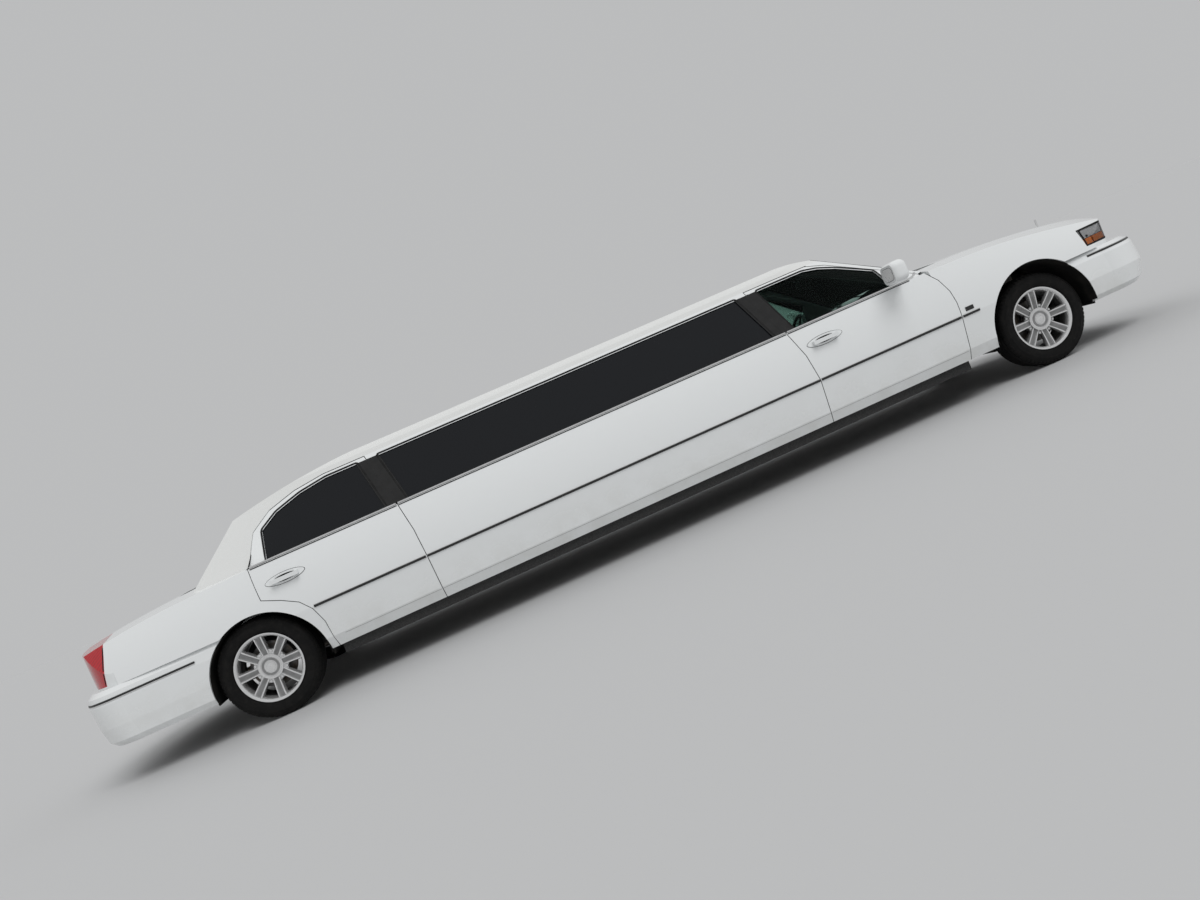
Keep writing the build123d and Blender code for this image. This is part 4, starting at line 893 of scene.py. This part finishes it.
frontDoorEdge = fromAxle(
    frontX, (-1.790, sillZ), (-1.778, 0.600), (-1.800, 0.800), (-1.856, 1.000), (-1.952, 1.400), (-1.440, 1.400),
    (-1.290, 1.352), (-0.830, 1.072), (-0.742, 1.009), (-0.668, 0.909), (-0.630, 0.805), (-0.621, 0.714),
    (-0.628, 0.600), (-0.658, sillZ))
rearDoorEdge = fromAxle(
    rearX, (0.484, sillZ), (0.470, 0.480), (0.431, 0.592), (0.369, 0.668), (0.269, 0.725), (0.145, 0.778),
    (0.136, 1.000), (0.205, 1.215), (0.350, 1.312), (0.560, 1.372), (0.780, 1.400), (1.096, 1.400), (1.204, 1.000),
    (1.240, 0.800), (1.252, 0.600), (1.257, sillZ))
# seen from above, and from behind for the last one
hoodEdge = fromAxle(frontX, (-0.495, 0.714), (0.400, 0.652), (0.720, 0.596), (0.925, 0.546))
lidEdge = fromAxle(rearX, (-1.100, 0.592), (-0.900, 0.592), (-0.436, 0.627))
lidBack = [(0.592, 0.930), (0.592, 0.672)]
hoodSkin, lidSkin = Skin("hood"), Skin("trunk_lid")


def shutLine(find, outline, inward):
    # painted shade: a dark filling deep in the gap outside an outline
    frames = alongSurface(find, outlineMoved(outline, trimLook["gapHalf"], False), False, inward, 0.0, 0.03)
    return sweep("shutLine", frames, bar(trimLook["gapWidth"], -0.009, -0.0010), gapBlack)


pair("shut_lines", joined("shutLines", [
    shutLine(sideOf(frontDoorSkin), frontDoorEdge, 0.007), shutLine(sideOf(rearDoorSkin), rearDoorEdge, 0.007),
    shutLine(topOf(hoodSkin), hoodEdge, 0.012), shutLine(topOf(lidSkin), lidEdge, 0.012),
    shutLine((lidSkin.behind, (1, 2)), lidBack, 0.012)]), "root")
print("windows and shut lines made")


# ---- bumper strips, handles, mirrors
# node: middle of its turn in X, height, first and last angle in plan
bumperLook = {"front_bumper": (frontX + 0.30, 0.628, 79.0, -79.0), "rear_bumper": (rearX - 0.25, 0.584, 99.0, 261.0)}
for name, (centre, z, start, end) in bumperLook.items():
    frames = aroundEnd(Skin(name), centre, z, start, end, 110)
    strip = [sweep("black", frames, bar(0.013, -0.004, 0.0045, 0.001), blackTrim),
             sweep("bright", frames, bar(0.006, -0.004, 0.0045, 0.001, 0.0095), brightTrim)]
    piece(name + "_strip", joined(name, strip), "root")


def oval(wide, high, powers, steps=48):
    # half sizes; a power below 1 makes the outline squarer, one above 1 more pointed
    points = []
    for angle in spread(0.0, 360.0, steps)[:-1]:
        c, s, _ = heading(angle)
        points.append((wide * math.copysign(abs(c) ** powers[0], c), high * math.copysign(abs(s) ** powers[1], s)))
    return points


# half width, half height, underside, top and finish of each layer
handleLook = {"z": 0.858, "front": frontX - 1.627, "rear": rearX + 0.345, "powers": (1.0, 1.15),
              "layers": [(0.138, 0.035, -0.002, 0.004, bodyPaint), (0.1415, 0.038, -0.002, 0.0012, gapBlack),
                         (0.088, 0.022, 0.0038, 0.0046, gapBlack)]}


def handlePlate(x):
    # oval escutcheon with painted shadow round its edge and painted shade in the hand recess behind the bar
    layers = []
    for wide, high, under, top, coat in handleLook["layers"]:
        places = []
        for u, w in oval(wide, high, handleLook["powers"]):
            # the side below the belt is the same at every length along the doors
            place, normal = panelSkin.side((rearX + frontX) / 2, handleLook["z"] + w)
            places.append((Vector((x + u, place.y, place.z)), normal))
        layers.append(lofted("layer", [[p + n * level for p, n in places] for level in (top, under)], coat, False))
    return joined("handle", layers)


for end in ("front", "rear"):
    pair(end + "_door_handle_plate", handlePlate(handleLook[end]), "door_" + end + "_")

mirrorLook = {"centre": Vector((frontX - 1.005, 1.0635, 1.088)), "half": Vector((0.066, 0.1080, 0.079)),
              "bevel": 0.050, "cut": 0.0525, "plate": (0.074, 0.046), "gasket": 0.0025}


def mirrorCover():
    # bulbous painted shell round the plain housing, cut flat where the mirror plate sits
    centre, half = mirrorLook["centre"], mirrorLook["half"]

    def flatBack(shell):
        cut = bmesh.ops.bisect_plane(shell, geom=shell.verts[:] + shell.edges[:] + shell.faces[:],
                                     plane_co=centre - Vector((mirrorLook["cut"], 0, 0)), plane_no=(-1, 0, 0),
                                     clear_outer=True)
        edges = [e for e in cut["geom_cut"] if isinstance(e, bmesh.types.BMEdge)]
        bmesh.ops.holes_fill(shell, edges=edges, sides=0)

    made = boxMesh("mirrorCover", centre - half, centre + half, bodyPaint, mirrorLook["bevel"], 8)
    return reworked(made, change=flatBack)


def mirrorPlate(grow, back, front, coat):
    # plate with a full rounded outline on the flat back of the shell
    wide, high = (v + grow for v in mirrorLook["plate"])
    middleX, middleY, middleZ = mirrorLook["centre"] - Vector((mirrorLook["cut"], 0, 0))
    return lofted("plate", [[(middleX - deep, middleY + y, middleZ + z) for y, z in oval(wide, high, (0.5, 0.5))]
                            for deep in (back, front)], coat, False)


pair("mirror_cover", mirrorCover(), "door_front_")
# the mirror plate's pale silver is a painted reflection
pair("mirror_glass", joined("mirrorBack", [
    mirrorPlate(mirrorLook["gasket"], 0.0010, -0.002, blackRubber),
    mirrorPlate(0.0, 0.0022, -0.001, finish["lampSilver"])]), "door_front_")
print("handles and mirrors made")


# ---- lamps: what is seen behind the clear lens, drawn by angle round a point inside it
lampView = {"centre": (frontX + 0.55, 0.45), "low": 0.702, "split": 0.755, "high": 0.830, "ends": (-5.0, 93.0),
            "ribs": 46, "bowls": (10.0, 36.0), "bowlZ": 0.767, "bowlDepth": 0.016}
lampSkin = Skin("headlamps")


def lampPoint(angle, z):
    way = heading(angle)
    return lampSkin.hit(Vector((*lampView["centre"], z)) + way * 1.2, -way)


def lampSheet(name, start, end, low, high, coat, depth, rib=0.0, steps=138):
    # a sheet under the lens; ribs run upright
    grid = []
    for i, angle in enumerate(spread(start, end, steps)):
        wave = rib * math.cos(2 * math.pi * i * lampView["ribs"] / steps)
        row = [lampPoint(angle, z) for z in spread(low, high, 4)]
        grid.append([(place - normal * (depth + wave), normal) for place, normal in row])
    return sheet(name, grid, coat, 0.0, 0.0015, smooth=True)


def lampBorder():
    # black rubber round the whole lens
    low, high = lampView["low"] + 0.002, lampView["high"]
    angles, heights = spread(*lampView["ends"], 49), spread(low, high, 4)[1:-1]
    path = [(a, high) for a in angles] + [(angles[-1], z) for z in reversed(heights)]
    path += [(a, low) for a in reversed(angles)] + [(angles[0], z) for z in heights]
    return sweep("lampBorder", carriers([lampPoint(*p) for p in path], True), bar(0.009, -0.005, 0.0012, 0.0006),
                 blackRubber, True)


def bowl(angle):
    # reflector with its bulb, facing outward from the lamp
    chrome = finish["lampChrome"]
    shell = spun("bowl", [(-0.045, 0.001), (-0.041, 0.020), (-0.029, 0.038), (-0.010, 0.050), (0.0, 0.054),
                          (-0.001, 0.056), (-0.012, 0.053), (-0.032, 0.041), (-0.046, 0.022), (-0.050, 0.001)],
                 chrome, 48)
    bulb = spun("bulb", [(-0.046, 0.0006), (-0.046, 0.0065), (-0.020, 0.0070), (-0.012, 0.0050), (-0.009, 0.0006)],
                chrome, 20)
    place, _ = lampPoint(angle, lampView["bowlZ"])
    turn = Matrix.Rotation(math.radians(angle - 90.0), 4, "Z")
    return moved(joined("bowl", [shell, bulb]),
                 Matrix.Translation(place - heading(angle) * lampView["bowlDepth"]) @ turn)


def headlampInside():
    low, split, high = lampView["low"], lampView["split"], lampView["high"]
    chrome, silver = finish["lampChrome"], finish["lampSilver"]
    return joined("headlampInside", [
        lampSheet("lampBack", -6.0, 97.0, low - 0.002, high + 0.002, finish["lampBack"], 0.064, steps=60),
        # the silver reflectors below are painted reflection
        lampSheet("sideReflector", 61.0, 94.0, split + 0.004, high - 0.002, silver, 0.008, 0.0016),
        lampSheet("amberLens", 55.0, 94.0, low + 0.003, split, lampAmber, 0.006, 0.0010),
        lampSheet("bezel", 57.0, 60.5, split, high - 0.002, chrome, 0.005, steps=10),
        lampSheet("lowReflector", -4.0, 54.0, low + 0.003, low + 0.020, silver, 0.012, 0.0012),
        *(bowl(angle) for angle in lampView["bowls"]), lampBorder()])


pair("headlamp_inside", headlampInside(), "root")
tailEdge = fromAxle(rearX, (-0.942, 0.932), (-0.962, 0.850), (-1.010, 0.672))
pair("tail_lamp_edge", sweep("tailEdge", alongSurface(sideOf(Skin("tail_lamps")), tailEdge),
                             bar(0.008, -0.003, 0.0015, 0.0006), blackRubber), "root")
print("lamps made")


# ---- liners in the wheel arches and trim cards inside the doors
# centre, radius, first and last angle of each arch
archLook = {"arches": [(frontX, 0.345, 0.4215, -4.0, 186.0), (rearX + 0.020, 0.305, 0.4045, -6.0, 186.0)],
            "inner": 0.66, "outer": 0.958, "wall": 0.003, "steps": 60}
# the armrest: clear of both ends, its depth, underside and top
cardLook = {"lift": 0.010, "low": 0.36, "high": 0.96, "front": (frontX - 1.70, frontX - 0.82),
            "rear": (rearX + 0.55, rearX + 1.14), "rest": (0.12, 0.16, 0.062, 0.655, 0.700), "restZ": 0.68}


def archLiner(x, z, radius, start, end):
    # black half ring just inside the arch edge
    inner, outer, thin = archLook["inner"], archLook["outer"], radius - archLook["wall"]
    section = [(inner, thin), (inner, radius), (outer, radius), (outer, thin)]
    ways = [heading(angle) for angle in spread(start, end, archLook["steps"])]
    return lofted("liner", [[(x + r * c, y, z + r * s) for y, r in section] for c, s, _ in ways],
                  finish["linerBlack"])


def doorCard(skin, start, end):
    # padded inner panel of a door with an armrest
    heights = spread(cardLook["low"], cardLook["high"], 8)
    grid = [[skin.inside(x, z) for z in heights] for x in spread(start, end, 10)]
    wall = skin.inside((start + end) / 2, cardLook["restZ"])[0].y
    behind, ahead, deep, under, top = cardLook["rest"]
    rest = boxMesh("rest", (start + behind, wall - deep, under), (end - ahead, wall - 0.004, top), seatLeather,
                   0.014)
    return joined("card", [sheet("cardPanel", grid, finish["cabinTrim"], cardLook["lift"], 0.002), rest])


pair("arch_liner", joined("archLiner", [archLiner(*arch) for arch in archLook["arches"]]), "root")
pair("door_front_card", doorCard(frontDoorSkin, *cardLook["front"]), "door_front_")
pair("door_rear_card", doorCard(rearDoorSkin, *cardLook["rear"]), "door_rear_")
print("liners and door cards made")


# ---- wipers and the bare ornament on the hood
# foot across, height of the foot, tip across
wiperLook = {"driver": (0.62, 1.052, 0.05), "passenger": (-0.06, 1.062, -0.60)}
ornamentLook = {"x": 0.86, "top": 1.035, "footHalf": (0.026, 0.010), "bladeHalf": (0.009, 0.0030)}


def wiper(y, foot, reach):
    # arm and blade lying on the windshield, pointing inboard
    def line(rise, run, lift, stations):
        found = [windshieldSkin.ahead(y + (reach - y) * t, foot + rise + run * t) for t in stations]
        return carriers([(place + normal * lift, normal) for place, normal in found])

    return [sweep("blade", line(0.020, 0.030, 0.006, (0.05, 0.3, 0.55, 0.8, 1.0)), bar(0.009, -0.005, 0.003),
                  blackRubber),
            sweep("arm", line(0.010, 0.035, 0.013, (0.0, 0.2, 0.4, 0.55)), bar(0.011, -0.002, 0.003, 0.001),
                  blackTrim)]


def ornament():
    # plain upright blade on a small foot
    place, _ = hoodSkin.above(frontX + ornamentLook["x"], 0.0)
    (footX, footY), (bladeX, bladeY) = ornamentLook["footHalf"], ornamentLook["bladeHalf"]
    foot = boxMesh("foot", place + Vector((-footX, -footY, -0.006)), place + Vector((footX, footY, 0.006)),
                   brightTrim, 0.003)
    blade = boxMesh("blade", place + Vector((-bladeX, -bladeY, 0.004)),
                    (place.x + bladeX, bladeY, ornamentLook["top"]), brightTrim, 0.0025)
    return joined("ornament", [foot, blade])


piece("wipers", joined("wipers", wiper(*wiperLook["driver"]) + wiper(*wiperLook["passenger"])), "root")
piece("hood_ornament", ornament(), "hood")
print("wipers and ornament made")


# ---- seats: foam pads puffed by a short cloth simulation, then sewn into pleats
padLook = {"voxel": 0.015, "shrink": 0.009, "bevel": 0.032, "frames": 20, "reach": 0.024, "seamHalf": 0.014,
           "seamDepth": 0.009, "fill": 0.7}
# settings of the cloth that swells the pads
clothLook = {"quality": 3, "mass": 0.3, "tension_stiffness": 12.0, "compression_stiffness": 12.0,
             "bending_stiffness": 0.6, "use_pressure": True, "uniform_pressure_force": 4.0}


def padBlock(name, outline, low, high, axis):
    # a closed block with rounded edges from a clockwise outline, drawn along X or Y, in small even faces
    less = padLook["shrink"]
    ring = outlineMoved(outline, -less)

    def shape(block):
        near, far = ([block.verts.new((p.x, at, p.y) if axis == "y" else (at, p.x, p.y)) for p in ring]
                     for at in (low + less, high - less))
        block.faces.new(near)
        block.faces.new(list(reversed(far)))
        for i in range(len(ring)):
            j = (i + 1) % len(ring)
            block.faces.new((near[j], near[i], far[i], far[j]))
        bmesh.ops.recalc_face_normals(block, faces=block.faces)
        bevel(block, padLook["bevel"])

    holder = held(name, reworked(blank(name, seatLeather), change=shape))
    remesh = holder.modifiers.new("grid", "REMESH")
    remesh.mode, remesh.voxel_size = "VOXEL", padLook["voxel"]
    return modified(holder)


def puffed(name, mesh):
    # inner pressure on cloth; no point moves further than the reach
    holder = held(name, mesh)
    start = [v.co.copy() for v in mesh.vertices]
    cloth = holder.modifiers.new("puff", "CLOTH")
    for key, value in clothLook.items():
        setattr(cloth.settings, key, value)
    cloth.settings.effector_weights.gravity = 0.0
    cloth.point_cache.frame_start, cloth.point_cache.frame_end = 1, padLook["frames"]
    scene = bpy.context.scene
    for number in range(1, padLook["frames"] + 1):
        scene.frame_set(number)
    made = modified(holder)
    scene.frame_set(1)
    for v, before in zip(made.vertices, start):
        way = v.co - before
        if way.length > padLook["reach"]:
            v.co = before + way.normalized() * padLook["reach"]
    return made


def sewn(name, mesh, seams, axis):
    # one subdivision, then a rounded channel along each seam
    holder = held(name, mesh)
    finer = holder.modifiers.new("finer", "SUBSURF")
    finer.levels = finer.render_levels = 1
    made = modified(holder)
    column, half, pushes = "xyz".index(axis), padLook["seamHalf"], []
    for v in made.vertices:
        near = min((abs(v.co[column] - s) for s in seams), default=1.0)
        pushes.append(v.normal * (padLook["seamDepth"] * (1 - (near / half) ** 2) ** 2 if near < half else 0.0))
    for v, push in zip(made.vertices, pushes):
        v.co -= push
    for face in made.polygons:
        face.use_smooth = True
    return made


def pad(name, outline, low, high, axis, pleats):
    # a finished cushion; pleats is the number of panels between its seams
    mesh = padBlock(name, outline, low, high, axis)
    mesh = puffed(name, mesh)
    return sewn(name, mesh, spread(low, high, pleats)[1:-1], axis)


def seat(name, mesh, stands):
    piece(name, mesh, "root", [stands], 60.0)


# side outlines, then both ends across and the pleats
frontSeat = {
    "front_cushion": (fromAxle(frontX, (-1.920, 0.325), (-1.920, 0.560), (-1.700, 0.555), (-1.500, 0.580),
                               (-1.445, 0.540), (-1.455, 0.325)), 0.125, 0.625, 5),
    "front_back": (fromAxle(frontX, (-1.985, 0.560), (-2.105, 1.045), (-2.030, 1.068), (-1.985, 1.020),
                            (-1.890, 0.740), (-1.835, 0.570)), 0.125, 0.625, 5),
    "front_headrest": (fromAxle(frontX, (-2.112, 1.065), (-2.118, 1.225), (-2.045, 1.240), (-2.020, 1.150),
                                (-2.035, 1.065)), 0.255, 0.495, 1),
}
rearBench = {
    "rear_bench_cushion": fromAxle(rearX, (0.150, 0.560), (0.190, 0.650), (0.420, 0.672), (0.650, 0.692),
                                   (0.715, 0.640), (0.700, 0.325), (0.560, 0.325)),
    "rear_bench_back": fromAxle(rearX, (0.040, 0.630), (-0.090, 1.020), (-0.060, 1.072), (0.060, 1.062),
                                (0.215, 0.670)),
}
# outlines seen from an end: across and height
sideBench = {"cushion": [(0.420, 0.325), (0.395, 0.560), (0.402, 0.645), (0.745, 0.662), (0.835, 0.662),
                         (0.830, 0.325)],
             "back": [(0.742, 0.665), (0.765, 0.975), (0.800, 0.985), (0.840, 0.980), (0.845, 0.665)],
             "start": rearX + 1.400, "end": frontX - 2.360, "parts": 3}
for name, (outline, low, high, pleats) in frontSeat.items():
    left = pad(name, outline, low, high, "y", pleats)
    seat(name + "_left", left, "front_seats")
    seat(name + "_right", moved(left, mirrorY), "front_seats")
for name, outline in rearBench.items():
    seat(name, pad(name, outline, -0.545, 0.545, "y", 9), "lounge_seats")
benchEnds = spread(sideBench["start"], sideBench["end"], sideBench["parts"])
for number, (low, high) in enumerate(zip(benchEnds, benchEnds[1:]), 1):
    for part in ("cushion", "back"):
        seat(f"side_bench_{part}_{number}", pad(part, sideBench[part], low, high, "x", 5), "lounge_seats")
print("seats made")


# ---- floor, light and camera
# each sun: where it shines to, and its strength
studio = {"floor": (0.50, 0.505, 0.51, 1.0), "sky": (0.50, 0.505, 0.51, 1.0), "worldLevel": 0.55, "softness": 38.0,
          "suns": {"keyLight": ((-0.35, 0.62, -1.0), 1.35), "fillLight": ((0.5, -0.7, -0.8), 0.45)}}
# the photograph's viewpoint: place in metres, then yaw, pitch and roll in degrees
view = {"place": (-0.856, -7.041, 1.024), "yaw": -5.702, "pitch": -2.290, "roll": -23.654,
        "focalPixels": 882.05, "imageWidth": 1200.0}


def stageFloor():
    bpy.ops.mesh.primitive_plane_add(size=240.0, location=(0.0, 0.0, 0.0))
    floor = bpy.context.object
    floor.name = "floor"
    floor.data.materials.append(Material("floorPaint", Base_Color=studio["floor"], Roughness=0.9).data)


def stageWorld():
    # even light all round; the camera, mirrors and glass see the plain background colour
    world = bpy.data.worlds.new("studioWorld")
    bpy.context.scene.world = world
    world.use_nodes = True
    graph = Graph(world.node_tree)
    lit = graph.node("ShaderNodeBackground", {}, {"Color": grey(1.0), "Strength": studio["worldLevel"]})
    seen = graph.node("ShaderNodeBackground", {}, {"Color": studio["sky"], "Strength": 1.0})
    path = graph.node("ShaderNodeLightPath", {}, {})
    straight = path.out("Is Camera Ray").maths("MAXIMUM", path.out("Is Camera Ray"), path.out("Is Glossy Ray"))
    plain = straight.maths("MAXIMUM", straight, path.out("Is Transmission Ray"))
    mixed = graph.node("ShaderNodeMixShader", {}, {0: plain, 1: lit, 2: seen})
    graph.tree.links.new(mixed.node.outputs[0], graph.tree.nodes["World Output"].inputs[0])


def softSun(name, towards, power):
    # even light from one direction over the whole length of the car
    data = bpy.data.lights.new(name, "SUN")
    data.energy, data.angle = power, math.radians(studio["softness"])
    lamp = held(name, data)
    lamp.visible_glossy = False
    lamp.rotation_mode = "QUATERNION"
    lamp.rotation_quaternion = Vector(towards).to_track_quat("-Z", "Y")


def stageCamera():
    yaw, pitch, roll = (math.radians(view[k]) for k in ("yaw", "pitch", "roll"))
    ahead = Vector((-math.sin(yaw) * math.cos(pitch), math.cos(yaw) * math.cos(pitch), math.sin(pitch)))
    right = Vector((math.cos(yaw), math.sin(yaw), 0.0))
    up = right.cross(ahead)
    rolledRight = right * math.cos(roll) + up * math.sin(roll)
    rolledUp = up * math.cos(roll) - right * math.sin(roll)
    data = bpy.data.cameras.new("photoCamera")
    data.sensor_width, data.clip_end = 36.0, 500.0
    data.lens = data.sensor_width * view["focalPixels"] / view["imageWidth"]
    camera = held("photoCamera", data)
    turn = Matrix((rolledRight, rolledUp, -ahead)).transposed().to_4x4()
    camera.matrix_world = Matrix.Translation(view["place"]) @ turn
    bpy.context.scene.camera = camera


stageFloor()
stageWorld()
for name, (towards, power) in studio["suns"].items():
    softSun(name, towards, power)
stageCamera()
bpy.context.scene.view_settings.view_transform = "Standard"
print("stage set")
